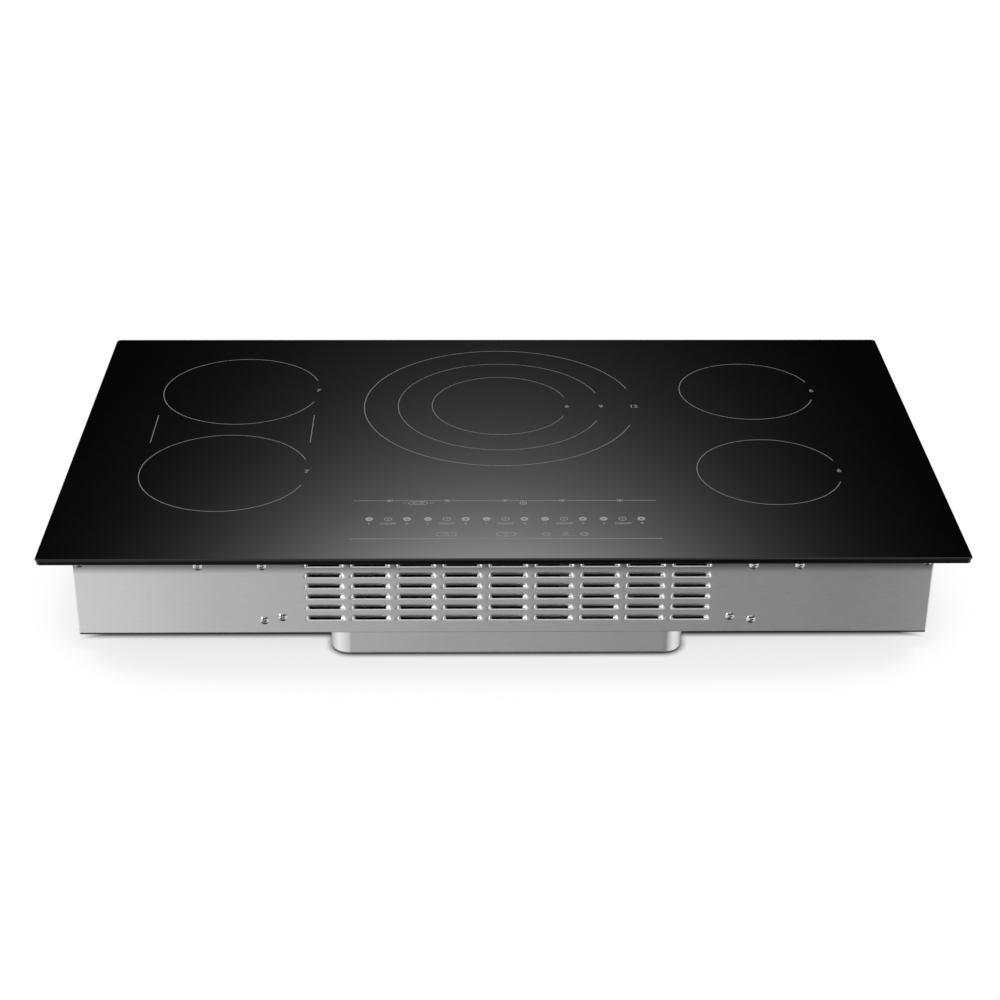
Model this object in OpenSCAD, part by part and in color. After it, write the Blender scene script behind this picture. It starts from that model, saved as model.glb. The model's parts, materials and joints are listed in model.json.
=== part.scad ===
// Built-in electric cooktop with five radiant zones, a bridge zone and touch keys.
// Millimetres. The origin is under the middle of the glass, level with the lowest face.
// The front of the cooktop faces -Y and the glass faces +Z.

/* [Glass] */
// Width of the glass, left to right
glass_w = 916.4; // [890:0.2:940]
// Depth of the glass, front to back
glass_d = 543; // [535:0.5:560]
// Thickness of the glass
glass_t = 5; // [4:0.5:6]
// Corner radius of the glass in plan
glass_corner_r = 5; // [3:0.5:12]
// Width of the bevel round the top edge
glass_bevel = 0.8; // [0.4:0.1:1.5]
// Thickness of the seal that rests on the worktop
seal_t = 1.5; // [1:0.1:2.5]
// Width of the seal
seal_w = 12; // [8:0.5:14]
// Distance from the glass edge to the seal
seal_inset = 1; // [0.5:0.1:3]
// Thickness of the silicone between the box and the glass
glue_t = 1; // [0.5:0.1:2]

/* [Burner box] */
// Width of the burner box
box_w = 857; // [840:0.2:866]
// Height of the burner box
box_h = 97; // [94:1:115]
// How far the glass stands out in front of the box
front_overhang = 33; // [30:0.5:36]
// How far the glass stands out behind the box
rear_overhang = 30; // [26:0.5:36]
// Thickness of the folded sheet steel
sheet_t = 1; // [0.8:0.1:1.2]
// Outside radius of the folds beside the front
bend_r = 2.4; // [1.8:0.1:4]
// Depth of the folds at the sides of the front panel
return_d = 14; // [10:1:20]
// Depth of the fold under the front panel
lip_d = 12; // [8:1:16]
// Height of the frame leg that the upper screws hold
frame_leg_h = 24; // [22:0.5:28]
// Width of the frame flange under the glass
frame_flange_w = 5; // [3:0.5:5.5]

/* [Louvres] */
// Number of louvres side by side
louvre_cols = 9; // [3:1:9]
// Number of louvre rows
louvre_rows = 6; // [2:1:6]
// Length of one louvre
louvre_w = 39.8; // [30:0.2:42]
// Height of one louvre opening
louvre_h = 6; // [5:0.2:8]
// Radius of the upper corners of a louvre
louvre_r = 4; // [2:0.2:4.5]
// Distance between louvre columns
louvre_pitch_x = 45.8; // [44:0.2:46.4]
// Distance between louvre rows
louvre_pitch_z = 12.3; // [11:0.1:12.6]
// Depth of the hood behind a louvre
louvre_depth = 4; // [2:0.2:4.5]
// Sideways place of the middle of the louvres
louvre_x = 3.9; // [0:0.1:8]
// Distance from the top of the box down to the lip of the top row
louvre_drop = 20.8; // [18:0.1:22]

/* [Electronics tray] */
// Width of the tray under the box
tray_w = 358; // [346:1:364]
// Depth of the tray
tray_d = 360; // [350:1:370]
// Height of the tray
tray_h = 27; // [25:0.5:35]
// Corner radius of the tray in plan
tray_r = 20; // [10:1:26]
// Outside radius of the bend between the walls and the base of the tray
tray_bend_r = 4; // [2:0.5:6]
// Sideways place of the middle of the tray
tray_x = 3.1; // [0:0.1:5]
// How far the tray lies behind the front panel
tray_setback = 0.5; // [0:0.1:3]
// Width of the flange that holds the tray to the box
tray_flange_w = 12; // [11:0.5:16]

/* [Cooking zones] */
// Sideways place of the left zones, as a share of half the box width
left_zone_share = 0.685; // [0.68:0.001:0.7]
// Sideways place of the right zones, as a share of half the box width
right_zone_share = 0.6592; // [0.65:0.0002:0.68]
// Place of the left rear zone behind the front of the box, as a share of its depth
left_rear_share = 0.753; // [0.747:0.001:0.763]
// Place of the right rear zone behind the front of the box, as a share of its depth
right_rear_share = 0.7496; // [0.743:0.0002:0.763]
// Place of both front zones behind the front of the box, as a share of its depth
front_zone_share = 0.325; // [0.32:0.001:0.33]
// Place of the middle zone behind the front of the box, as a share of its depth
centre_zone_share = 0.6708; // [0.664:0.0002:0.672]
// Diameter of the left elements, as a share of the box width
left_dish_share = 0.2163; // [0.207:0.0001:0.221]
// Diameter of the right elements, as a share of the box width
right_dish_share = 0.1858; // [0.1764:0.0001:0.2]
// Diameter of the middle element, as a share of the box width
centre_dish_share = 0.3527; // [0.341:0.0001:0.355]
// Width of the bridge element, as a share of the box width
bridge_share = 0.2; // [0.188:0.001:0.207]
// Depth of the bridge element at its ends
bridge_d = 69.4; // [60:0.2:72]
// Height of an element dish
dish_h = 26; // [24:0.5:30]
// Sheet thickness of an element dish
dish_t = 0.8; // [0.5:0.1:1]
// Thickness of the insulation under the heater ribbon
insulation_t = 12; // [10:0.5:13]
// Thickness of the insulation wall round the ribbon
insulation_wall = 11; // [8:0.5:12]
// Height of the heater ribbon
ribbon_h = 4; // [3:0.2:4.4]
// Distance between turns of the heater ribbon
ribbon_pitch = 8; // [7:0.5:9]

/* [Element supports] */
// Width of a cross rail
rail_w = 24; // [20:1:28]
// Height of a cross rail
rail_h = 12; // [10:0.5:14]
// Height of a leaf spring between rail and dish
spring_h = 8; // [6:0.5:10]
// Thickness of a leaf spring
spring_t = 0.6; // [0.4:0.1:0.8]

/* [Touch controls] */
// Sideways place of the middle of the keys
keys_x = 1.5; // [0:0.5:4]
// Distance between neighbouring key groups
keys_pitch = 59.2; // [56:0.1:60]
// Distance from a power key to the keys beside it
keys_side = 19.1; // [17:0.1:20]
// Distance from the front of the box to the main key row
keys_in = 50; // [48.5:0.5:52.5]
// Diameter of a conductive key pad
key_pad_d = 8; // [6:0.2:8.6]
// Thickness of the circuit boards
board_t = 1.6; // [1.2:0.1:2]

/* [Fan] */
// Side of the square fan housing
fan_side = 80; // [76:1:82]
// Depth of the fan housing
fan_depth = 25; // [22:1:25]
// Diameter of the fan blades
fan_blade_d = 73; // [66:0.5:74]
// Number of fan blades
fan_blades = 7; // [5:1:9]
// Diameter of the fan shaft
fan_shaft_d = 3; // [2.5:0.1:4]

/* [Supply inlet] */
// Diameter of the conduit hole in the rear panel
inlet_d = 22.2; // [20:0.1:28]
// Distance from the right side of the box to the conduit hole
inlet_side = 50.3; // [40.3:1:55.3]

/* [Hold-down clamps] */
// Thickest worktop that the clamps pass under
worktop_max_t = 43; // [40:0.5:44]
// Thread diameter of a clamp screw
clamp_thread_d = 6; // [5:0.5:8]
// Thread pitch of a clamp screw
clamp_pitch = 1.25; // [1:0.05:1.3]
// Turns from the lowest to the highest place of a clamp foot
clamp_turns = 10; // [6:1:10]
// Length of a clamp screw below its foot
clamp_screw_l = 60; // [58:1:64]

/* [Hidden] */
$fn = 48;
cut = 1;

// Heights
z_lip = tray_h;
z_floor = z_lip + sheet_t;
z_in = z_floor + sheet_t;
z_box_top = z_lip + box_h;
z_glass = z_box_top + glue_t;
z_top = z_glass + glass_t;
z_seal = z_glass - seal_t;
z_leg = z_box_top - frame_leg_h;

// Plan of the box
box_d = glass_d - front_overhang - rear_overhang;
box_front = -glass_d / 2 + front_overhang;
box_back = box_front + box_d;
box_half = box_w / 2;
wall_half = box_half - sheet_t;
in_half = wall_half - sheet_t;
in_front = box_front + sheet_t;
in_back = box_back - sheet_t;

// Screws
screw_r = 2;
screw_head_r = 4.8;
screw_head_h = 2.4;
screw_l = 8;
screw_gap = 0.1;
upper_screw_drop = 20.2;
corner_screw_drop = 16.5;
upper_screws_x = box_half * [-0.712, -0.5636, 0.5804, 0.6877];
corner_screw_in = 6.2;
duct_in_z = 17.9;
duct_out_z = 14.4;

// Zones keep their share of the box, and their elements the share of its smaller side
box_aspect = 1.772;
zone_base = min(box_w, box_aspect * box_d);
left_zone_x = -left_zone_share * box_half;
right_zone_x = right_zone_share * box_half;
left_rear_y = box_front + left_rear_share * box_d;
right_rear_y = box_front + right_rear_share * box_d;
front_zone_y = box_front + front_zone_share * box_d;
centre_zone_y = box_front + centre_zone_share * box_d;
left_dish_d = left_dish_share * zone_base;
right_dish_d = right_dish_share * zone_base;
centre_dish_d = centre_dish_share * zone_base;
bridge_w = bridge_share * zone_base;

// Ducts beside the louvres
duct_left_x = -231.5;
duct_right_x = 238.7;
duct_flange_w = 36;
duct_left_screws_x = [-241.5, -223.2];
duct_right_screws_x = [249.5, 227.9];
duct_overlap = 6;
duct_drop = 21;
duct_flange_gap = 2;
duct_back = front_zone_y - left_dish_d / 2 + duct_overlap;
duct_top = z_glass - duct_drop;
duct_flange_top = z_leg - duct_flange_gap;

// Louvre places
louvre_z = z_box_top - louvre_drop;
louvre_field = (louvre_cols - 1) * louvre_pitch_x + louvre_w;
hood_low = 1.6;
hood_lap = 0.6;
frame_notch_margin = 5;
frame_notch_z = louvre_z + louvre_h + 2;

// Tray places
tray_front = box_front + tray_setback;
tray_back = tray_front + tray_d;
tray_in = 9;
opening_gap = 6;
opening_front = box_front + lip_d + opening_gap;
opening_back = tray_back - tray_in;
tray_flange_front = box_front + lip_d + 1;
tray_side_screws_y = [tray_front + 78, tray_front + 180, tray_front + 298];
tray_rear_screws_x = [-110, 110];

// Element heights
dish_drop = 3;
z_dish = z_glass - dish_h - dish_drop;
z_ribbon = z_dish + dish_t + insulation_t;
rod_r = 3;
rod_gap = 0.3;
z_rod = z_ribbon + ribbon_h + rod_r + 1.2;
insulation_gap = 0.3;
limiter_l = 26;
limiter_w = 20;
limiter_h = 18;
limiter_off = 0.5;
z_limiter = z_rod - 15;
ribbon_t = 1;
ribbon_r0 = 16;
ribbon_start = 15;
divider_r = centre_dish_d / 2 * [0.5067, 0.76];
divider_w = 6;
divider_in = 7;
divider_out = 8;
ribbon_in = 7;
bridge_y = (left_rear_y + front_zone_y) / 2;
bridge_gap = 1;
bridge_wall = 4;
bridge_ribbon_y = 2.5;

// Rails and springs
z_rail = z_dish - spring_h;
rails_y = [front_zone_y - 45.5, front_zone_y + 44.5, centre_zone_y - 0.5, centre_zone_y + 79.5];
rail_tab_h = 28;
rail_screw_drop = 20;
strap_w = 16;
strap_t = 1;
strap_x = 55;
spring_l = 28;
spring_w = 10;
spring_x = 25;
centre_spring_x = 70;

// Touch controls
carrier_w = 332;
carrier_d = 89;
carrier_in = 6.5;
carrier_front = box_front + carrier_in;
carrier_back = carrier_front + carrier_d;
carrier_wall = 2;
carrier_plate_in = 12;
keys_y = box_front + keys_in;
z_carrier = duct_top + sheet_t;
touch_drop = 7;
z_touch = z_glass - touch_drop;
touch_overhang = 3;
bridge_key = [-88.9, 34.7];
ring_key = [19, 34.8];
lower_keys = [[-59.2, -32.4], [0, -32.4], [40.1, -32.4], [78.3, -32.4]];

// Power board
power_x = 40;
power_in = 173.5;
power_y = box_front + power_in;
power_w = 210;
power_d = 130;
standoff_h = 6;
standoff_r = 3.5;
z_power = sheet_t + standoff_h;
z_power_top = z_power + board_t;
relay_count = 6;
relay_size = [13, 28, 16];
relay_x = -50;
relay_y = power_y - 43;
relay_pitch = 26;
transformer_size = [42, 36, 32];
transformer_x = -40;
transformer_y = power_y + 35;

// Fan
fan_x = -100;
fan_front = box_front + 26.5;
fan_back = fan_front + fan_depth;
z_fan = 2 * sheet_t + fan_side / 2;
fan_tip_gap = 1.5;
fan_bore_r = fan_blade_d / 2 + fan_tip_gap;
fan_hole = 35.75;
fan_hub_r = 16;
fan_hub_wall = 2;
fan_spider_t = 3;
fan_rotor_l = 17;
fan_bearing_l = 14;
fan_bearing_r = 4;
fan_fit = 0.05;
fan_run_gap = 1;
bracket_foot_d = 26;

// Terminals
terminal_size = [70, 28, 22];
terminal_side = 65.3;
terminal_in = 27.5;
terminal_x = box_half - terminal_side;
terminal_y = box_back - terminal_in;
cover_size = [100, 60, 34];
inlet_x = box_half - inlet_side;
inlet_z = z_in + 21;
supply_x = terminal_x - 15;
supply_z = z_in + 11;
supply_turn = 29.5;
supply_in = 20;
supply_end = 12;
supply_r = 3.5;
supply_hole_r = 6;

// Wiring
wire_r = 4;
z_wire = z_rail - 26;
wire_x = 40;
wire_y = power_y + 5;
ribbon_cable = [20, 1];
ribbon_cable_x = 70;
cable_rise = 12;
cable_end = 4;

// Rear vents
vent_cols = 12;
vent_rows = 3;
vent_size = [26, 4];
vent_pitch = [34, 10];
vent_x = -60;
vent_drop = 30;
rear_flange_h = 12;
rear_screws_x = [-box_half + 45.3, -0.54 * box_half, 0, 0.47 * box_half, box_half - 25.3];

// Clamps
z_clamp_top = z_seal - worktop_max_t - 0.5;
clamp_travel = clamp_pitch * clamp_turns;
clamp_out = 16;
clamp_x = wall_half + clamp_out;
clamp_foot_r = 8;
clamp_foot_h = 8;
clamp_socket = 4;
clamp_fit = 0.05;
clamp_head_h = 4;
clamp_head_r = 5.8;
clamp_head_gap = 5.5;
clamp_arm_t = 3;
clamp_plate_t = 2;
clamp_half_w = 20;
clamp_arm_l = 28;
z_clamp_tip = z_clamp_top - clamp_foot_h + clamp_socket;
z_clamp_arm = z_clamp_tip - clamp_screw_l + clamp_travel + clamp_head_gap;
clamp_plate_h = 40;
clamp_screw_y = 12;
clamp_screw_up = 26;

// Rectangle with four round corners, centred
module rounded_rect(w, d, r) {
    square([w - 2 * r, d], center = true);
    square([w, d - 2 * r], center = true);
    for (sx = [-1, 1], sy = [-1, 1])
        translate([sx * (w / 2 - r), sy * (d / 2 - r)])
            circle(r);
}

// Flat ring between two rounded rectangles
module rect_ring(w, d, r, band) {
    difference() {
        rounded_rect(w, d, r);
        rounded_rect(w - 2 * band, d - 2 * band, max(r - band, 1));
    }
}

// Quarter disc between a wall and a base, about the origin
module bend_quarter(b) {
    intersection() {
        circle(b);
        translate([0, -b])
            square(b);
    }
}

// Pan of round-cornered plan with a bend of radius b all round its base
module bent_pan(w, d, h, r, b) {
    translate([0, 0, b])
        linear_extrude(h - b)
            rounded_rect(w, d, r);
    linear_extrude(b)
        rounded_rect(w - 2 * b, d - 2 * b, r - b);
    for (k = [0:3]) {
        across = k % 2 == 0 ? w : d;
        along = k % 2 == 0 ? d : w;
        rotate(90 * k) {
            translate([across / 2 - b, along / 2 - r, b])
                rotate([90, 0, 0])
                    linear_extrude(along - 2 * r)
                        bend_quarter(b);
            translate([across / 2 - r, along / 2 - r, b])
                rotate_extrude(angle = 90)
                    translate([r - b, 0])
                        bend_quarter(b);
        }
    }
}

// Rectangle from y = 0 backwards with its two front corners rounded
module front_rounded(w, d, r) {
    translate([-w / 2, r])
        square([w, d - r]);
    translate([-w / 2 + r, 0])
        square([w - 2 * r, d]);
    for (sx = [-1, 1])
        translate([sx * (w / 2 - r), r])
            circle(r);
}

// Box given by its low and high corners
module block(low, high) {
    translate(low)
        cube(high - low);
}

// Pan head screw: the head stands above z = 0 and the shank goes down
module pan_screw(length = screw_l) {
    dome_r = (screw_head_r * screw_head_r + screw_head_h * screw_head_h) / (2 * screw_head_h);
    difference() {
        intersection() {
            translate([0, 0, screw_head_h - dome_r])
                sphere(dome_r, $fn = 64);
            cylinder(h = screw_head_h, r = screw_head_r);
        }
        for (a = [0, 90])
            rotate([0, 0, a + 20])
                translate([-2.6, -0.5, screw_head_h - 1.3])
                    cube([5.2, 1, 2]);
    }
    translate([0, 0, -length])
        cylinder(h = length, r = screw_r);
}

// Clearance hole for a screw, along z through the middle
module screw_hole(length = 6) {
    cylinder(h = length, r = screw_r + screw_gap, center = true);
}

module front_screw_at(x, z) {
    translate([x, box_front, z])
        rotate([90, 0, 0])
            children();
}

// Upper, corner and duct screws of the front panel
module at_front_screws() {
    for (x = upper_screws_x)
        front_screw_at(x, z_box_top - upper_screw_drop)
            children();
    for (sx = [-1, 1])
        front_screw_at(sx * (box_half - corner_screw_in), z_box_top - corner_screw_drop)
            children();
    at_duct_screws(duct_left_screws_x)
        children();
    at_duct_screws(duct_right_screws_x)
        children();
}

// The outer screw of each pair sits a little lower than the inner one
module at_duct_screws(xs) {
    front_screw_at(xs[0], z_lip + duct_out_z)
        children();
    front_screw_at(xs[1], z_lip + duct_in_z)
        children();
}

module at_rear_screws() {
    for (x = rear_screws_x, z = [z_in + rear_flange_h / 2, z_box_top - upper_screw_drop])
        translate([x, box_back, z])
            rotate([-90, 0, 0])
                children();
}

module at_rail_screws() {
    for (y = rails_y, sx = [-1, 1])
        translate([sx * wall_half, y, z_rail - rail_screw_drop])
            rotate([0, sx * 90, 0])
                children();
}

module at_tray_screws() {
    for (sx = [-1, 1], y = tray_side_screws_y)
        translate([tray_x + sx * (tray_w / 2 + tray_flange_w / 2), y, z_lip])
            rotate([180, 0, 0])
                children();
    for (x = tray_rear_screws_x)
        translate([tray_x + x, tray_back + tray_flange_w / 2, z_lip])
            rotate([180, 0, 0])
                children();
}

module at_clamp_plate_screws() {
    for (sx = [-1, 1], y = [-clamp_screw_y, clamp_screw_y])
        translate([sx * (wall_half + clamp_plate_t), y, z_clamp_arm + clamp_screw_up])
            rotate([0, sx * 90, 0])
                children();
}

module glass_top() {
    color("#101012")
        hull() {
            translate([0, 0, z_glass])
                linear_extrude(glass_t - glass_bevel)
                    rounded_rect(glass_w, glass_d, glass_corner_r);
            translate([0, 0, z_top - glass_bevel])
                linear_extrude(glass_bevel)
                    rounded_rect(glass_w - 2 * glass_bevel, glass_d - 2 * glass_bevel,
                        glass_corner_r - glass_bevel);
        }
}

module perimeter_seal() {
    color("#060606")
        translate([0, 0, z_seal])
            linear_extrude(seal_t)
                rect_ring(glass_w - 2 * seal_inset, glass_d - 2 * seal_inset,
                    glass_corner_r, seal_w);
}

// Bead on the top edges of the box and on the frame flange
module glass_adhesive() {
    color("#202020")
        translate([0, (box_front + box_back) / 2, z_box_top])
            linear_extrude(glue_t)
                rect_ring(box_w - 2 * bend_r, box_d - 0.4, 3, frame_flange_w + 1);
}

// Flange under the glass with a leg down the inside of the box
module glass_frame() {
    w = 2 * in_half;
    d = in_back - in_front;
    color("#b8babc")
        difference() {
            translate([0, (in_front + in_back) / 2, 0]) {
                translate([0, 0, z_box_top - sheet_t])
                    linear_extrude(sheet_t)
                        rect_ring(w, d, 3, frame_flange_w);
                translate([0, 0, z_leg])
                    linear_extrude(frame_leg_h)
                        rect_ring(w, d, 3, sheet_t);
            }
            block([louvre_x - louvre_field / 2 - frame_notch_margin, in_front - cut, z_leg - cut],
                [louvre_x + louvre_field / 2 + frame_notch_margin,
                    in_front + 2 * sheet_t, frame_notch_z]);
            at_front_screws()
                screw_hole();
            at_rear_screws()
                screw_hole();
        }
}

// Opening of one louvre: round upper corners over a straight lower lip
module louvre_outline() {
    translate([-louvre_w / 2, 0])
        square([louvre_w, louvre_h - louvre_r]);
    translate([-louvre_w / 2 + louvre_r, 0])
        square([louvre_w - 2 * louvre_r, louvre_h]);
    intersection() {
        for (sx = [-1, 1])
            translate([sx * (louvre_w / 2 - louvre_r), louvre_h - louvre_r])
                circle(louvre_r);
        translate([-louvre_w / 2, 0])
            square([louvre_w, louvre_h]);
    }
}

// Hood behind one louvre: a sloping sheet between two cheeks
module louvre_hood() {
    slope = [[0, louvre_h + sheet_t], [0, louvre_h - hood_lap],
        [louvre_depth, hood_low], [louvre_depth, hood_low + sheet_t]];
    cheek = [[0, 0], [0, louvre_h + sheet_t], [louvre_depth, hood_low + sheet_t], [louvre_depth, 0]];
    for (i = [-1, 1])
        translate([i * (louvre_w / 2 + sheet_t / 2) - sheet_t / 2, 0, 0])
            rotate([90, 0, 90])
                linear_extrude(sheet_t)
                    polygon(cheek);
    translate([-louvre_w / 2 - sheet_t / 2, 0, 0])
        rotate([90, 0, 90])
            linear_extrude(louvre_w + sheet_t)
                polygon(slope);
}

module at_louvres() {
    for (i = [0:louvre_cols - 1], j = [0:louvre_rows - 1])
        translate([louvre_x + (i - (louvre_cols - 1) / 2) * louvre_pitch_x, 0,
            louvre_z - j * louvre_pitch_z])
            children();
}

// Louvred front with folds at both sides and along the bottom
module front_panel() {
    color("#c4c6c8") {
        difference() {
            union() {
                translate([0, box_front, z_lip])
                    linear_extrude(box_h)
                        difference() {
                            front_rounded(box_w, return_d, bend_r);
                            translate([0, sheet_t])
                                front_rounded(2 * wall_half, return_d, bend_r - sheet_t);
                        }
                translate([0, box_front, z_lip])
                    linear_extrude(sheet_t)
                        front_rounded(box_w, lip_d, bend_r);
            }
            at_louvres()
                translate([0, box_front + 2 * sheet_t, 0])
                    rotate([90, 0, 0])
                        linear_extrude(3 * sheet_t)
                            louvre_outline();
            at_front_screws()
                screw_hole();
        }
        at_louvres()
            translate([0, in_front, 0])
                louvre_hood();
    }
}

// Floor with the opening over the tray, two side walls and a rear flange
module box_pan() {
    color("#a9acae")
        difference() {
            union() {
                block([-wall_half, box_front + bend_r, z_floor], [wall_half, in_back, z_in]);
                for (sx = [-1, 1])
                    translate([sx * (wall_half - sheet_t / 2), 0, 0])
                        block([-sheet_t / 2, box_front + bend_r, z_floor],
                            [sheet_t / 2, in_back, z_box_top]);
                block([-in_half, in_back - sheet_t, z_in],
                    [in_half, in_back, z_in + rear_flange_h]);
            }
            block([tray_x - tray_w / 2 + tray_in, opening_front, z_floor - cut],
                [tray_x + tray_w / 2 - tray_in, opening_back, z_in + cut]);
            at_tray_screws()
                screw_hole();
            at_rail_screws()
                screw_hole();
            at_rear_screws()
                screw_hole();
            at_clamp_plate_screws()
                screw_hole(10);
        }
}

// Back wall with vents and the conduit hole
module rear_panel() {
    color("#a9acae")
        difference() {
            block([-wall_half, in_back, z_floor], [wall_half, box_back, z_box_top]);
            for (i = [0:vent_cols - 1], j = [0:vent_rows - 1])
                translate([vent_x + (i - (vent_cols - 1) / 2) * vent_pitch[0], in_back,
                    z_box_top - vent_drop - j * vent_pitch[1]])
                    block([-vent_size[0] / 2, -cut, -vent_size[1] / 2],
                        [vent_size[0] / 2, sheet_t + cut, vent_size[1] / 2]);
            translate([inlet_x, in_back - cut, inlet_z])
                rotate([-90, 0, 0])
                    cylinder(h = sheet_t + 2 * cut, d = inlet_d);
            at_rear_screws()
                screw_hole();
        }
}

module front_screws() {
    color("#d8dadc")
        at_front_screws()
            pan_screw();
}

// Rear, side, tray and clamp bracket screws
module case_screws() {
    color("#c8cacc") {
        at_rear_screws()
            pan_screw();
        at_rail_screws()
            pan_screw();
        at_tray_screws()
            pan_screw();
        at_clamp_plate_screws()
            pan_screw();
    }
}

// Wall beside the louvres with a flange against the front panel
module duct_wall(x, screws_x) {
    color("#a0a3a5")
        difference() {
            union() {
                block([x - sheet_t / 2, in_front + sheet_t, z_in],
                    [x + sheet_t / 2, duct_back, duct_top]);
                block([x - duct_flange_w / 2, in_front, z_in],
                    [x + duct_flange_w / 2, in_front + sheet_t, duct_flange_top]);
            }
            at_duct_screws(screws_x)
                screw_hole();
        }
}

module duct_wall_left() {
    duct_wall(duct_left_x, duct_left_screws_x);
}

module duct_wall_right() {
    duct_wall(duct_right_x, duct_right_screws_x);
}

// Plate across the duct walls that carries the touch controls
module carrier_plate() {
    low_x = duct_left_x - duct_flange_w / 2;
    high_x = duct_right_x + duct_flange_w / 2;
    front = carrier_front + carrier_plate_in;
    color("#a0a3a5") {
        block([low_x, front, duct_top], [high_x, duct_back, duct_top + sheet_t]);
        for (y = [front, duct_back - sheet_t])
            block([duct_left_x + 4, y, duct_top - 8], [duct_right_x - 4, y + sheet_t, duct_top]);
    }
}

// Dropped pan under the box with a flange at the sides and the back
module control_tray() {
    centre_y = (tray_front + tray_back) / 2;
    color("#bcbec0")
        difference() {
            union() {
                translate([tray_x, centre_y, 0])
                    bent_pan(tray_w, tray_d, tray_h, tray_r, tray_bend_r);
                intersection() {
                    translate([tray_x, centre_y, z_lip])
                        linear_extrude(sheet_t)
                            rounded_rect(tray_w + 2 * tray_flange_w, tray_d + 2 * tray_flange_w,
                                tray_r + tray_flange_w);
                    block([-tray_w, tray_flange_front, z_lip], [tray_w, box_back, z_floor]);
                }
            }
            translate([tray_x, centre_y, sheet_t])
                bent_pan(tray_w - 2 * sheet_t, tray_d - 2 * sheet_t, tray_h + sheet_t,
                    tray_r - sheet_t, tray_bend_r - sheet_t);
            at_tray_screws()
                screw_hole();
        }
}

// Four hat rails from wall to wall, with a tab at each end
module element_rails() {
    color("#a0a3a5")
        difference() {
            for (y = rails_y)
                translate([0, y, 0]) {
                    block([-in_half, -rail_w / 2, z_rail - sheet_t], [in_half, rail_w / 2, z_rail]);
                    for (s = [-1, 1]) {
                        translate([0, s * (rail_w - sheet_t) / 2, 0])
                            block([-in_half, -sheet_t / 2, z_rail - rail_h],
                                [in_half, sheet_t / 2, z_rail]);
                        translate([s * (in_half - sheet_t / 2), 0, 0])
                            block([-sheet_t / 2, -rail_w / 2, z_rail - rail_tab_h],
                                [sheet_t / 2, rail_w / 2, z_rail]);
                    }
                }
            at_rail_screws()
                screw_hole();
        }
}

// Straps on the rails under the bridge element
module bridge_straps() {
    color("#a0a3a5")
        for (sx = [-1, 1])
            translate([left_zone_x + sx * strap_x, 0, 0])
                block([-strap_w / 2, rails_y[1] - rail_w / 2, z_rail],
                    [strap_w / 2, rails_y[2] + rail_w / 2, z_rail + strap_t]);
}

// Leaf spring that stands on z = 0 and reaches the height h
module leaf_spring(h) {
    t = spring_t;
    half = spring_l / 2;
    rotate([90, 0, 0])
        translate([0, 0, -spring_w / 2])
            linear_extrude(spring_w)
                polygon([[-half, 0], [-half + 4 + t, 0], [-half + 8 + t, h - t],
                    [half - 8 - t, h - t], [half - 4 - t, 0], [half, 0], [half, t],
                    [half - 4, t], [half - 8, h], [-half + 8, h], [-half + 4, t], [-half, t]]);
}

module springs_at(x, xs, ys) {
    for (dx = xs, y = ys)
        translate([x + dx, y, z_rail])
            leaf_spring(spring_h);
}

module element_springs() {
    pair = [-spring_x, spring_x];
    color("#8f9294") {
        springs_at(left_zone_x, pair, rails_y);
        springs_at(right_zone_x, pair, rails_y);
        springs_at(0, [-centre_spring_x, centre_spring_x],
            [rails_y[1], rails_y[2], rails_y[3]]);
        for (sx = [-1, 1])
            translate([left_zone_x + sx * strap_x, bridge_y, z_rail + strap_t])
                rotate([0, 0, 90])
                    leaf_spring(spring_h - strap_t);
    }
}

// Bore through an element's wall for the limiter rod, towards +x
module rod_hole(reach) {
    translate([0, 0, z_rod])
        rotate([0, 90, 0])
            cylinder(h = 2 * reach, r = rod_r + rod_gap, center = true);
}

module round_dish(x, y, d, turn) {
    color("#b4b6b8")
        translate([x, y, 0])
            difference() {
                translate([0, 0, z_dish])
                    cylinder(h = dish_h, d = d, $fn = 96);
                translate([0, 0, z_dish + dish_t])
                    cylinder(h = dish_h, d = d - 2 * dish_t, $fn = 96);
                rotate([0, 0, turn])
                    rod_hole(d);
            }
}

module round_insulation(x, y, d, turn, dividers = []) {
    r = d / 2 - dish_t - insulation_gap;
    color("#e4e0d6")
        translate([x, y, 0])
            difference() {
                translate([0, 0, z_dish + dish_t])
                    cylinder(h = z_glass - z_dish - dish_t, r = r, $fn = 96);
                difference() {
                    translate([0, 0, z_ribbon])
                        cylinder(h = z_glass, r = r - insulation_wall, $fn = 96);
                    for (divider = dividers)
                        translate([0, 0, z_ribbon - cut])
                            difference() {
                                cylinder(h = dish_h, r = divider + divider_w / 2, $fn = 96);
                                cylinder(h = dish_h, r = divider - divider_w / 2, $fn = 96);
                            }
                    }
                for (divider = dividers)
                    translate([0, 0, z_glass - 1])
                        cylinder(h = 2, r = divider + divider_w, $fn = 96);
                rotate([0, 0, turn])
                    rod_hole(d);
            }
}

// Arcs laid back and forth between two radii, joined at alternate ends
module ribbon_circuit(r0, r1) {
    count = floor((r1 - r0) / ribbon_pitch);
    translate([0, 0, z_ribbon])
        for (k = [0:count]) {
            rotate([0, 0, ribbon_start])
                rotate_extrude(angle = 360 - 2 * ribbon_start, $fn = 96)
                    translate([r0 + k * ribbon_pitch, 0])
                        square([ribbon_t, ribbon_h]);
            if (k < count)
                rotate([0, 0, (k % 2 == 0 ? 1 : -1) * ribbon_start])
                    translate([r0 + k * ribbon_pitch, -ribbon_t / 2, 0])
                        cube([ribbon_pitch + ribbon_t, ribbon_t, ribbon_h]);
        }
}

module round_ribbon(x, y, d, turn) {
    color("#5a5652")
        translate([x, y, 0])
            rotate([0, 0, turn])
                ribbon_circuit(ribbon_r0, d / 2 - insulation_wall - ribbon_in);
}

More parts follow.
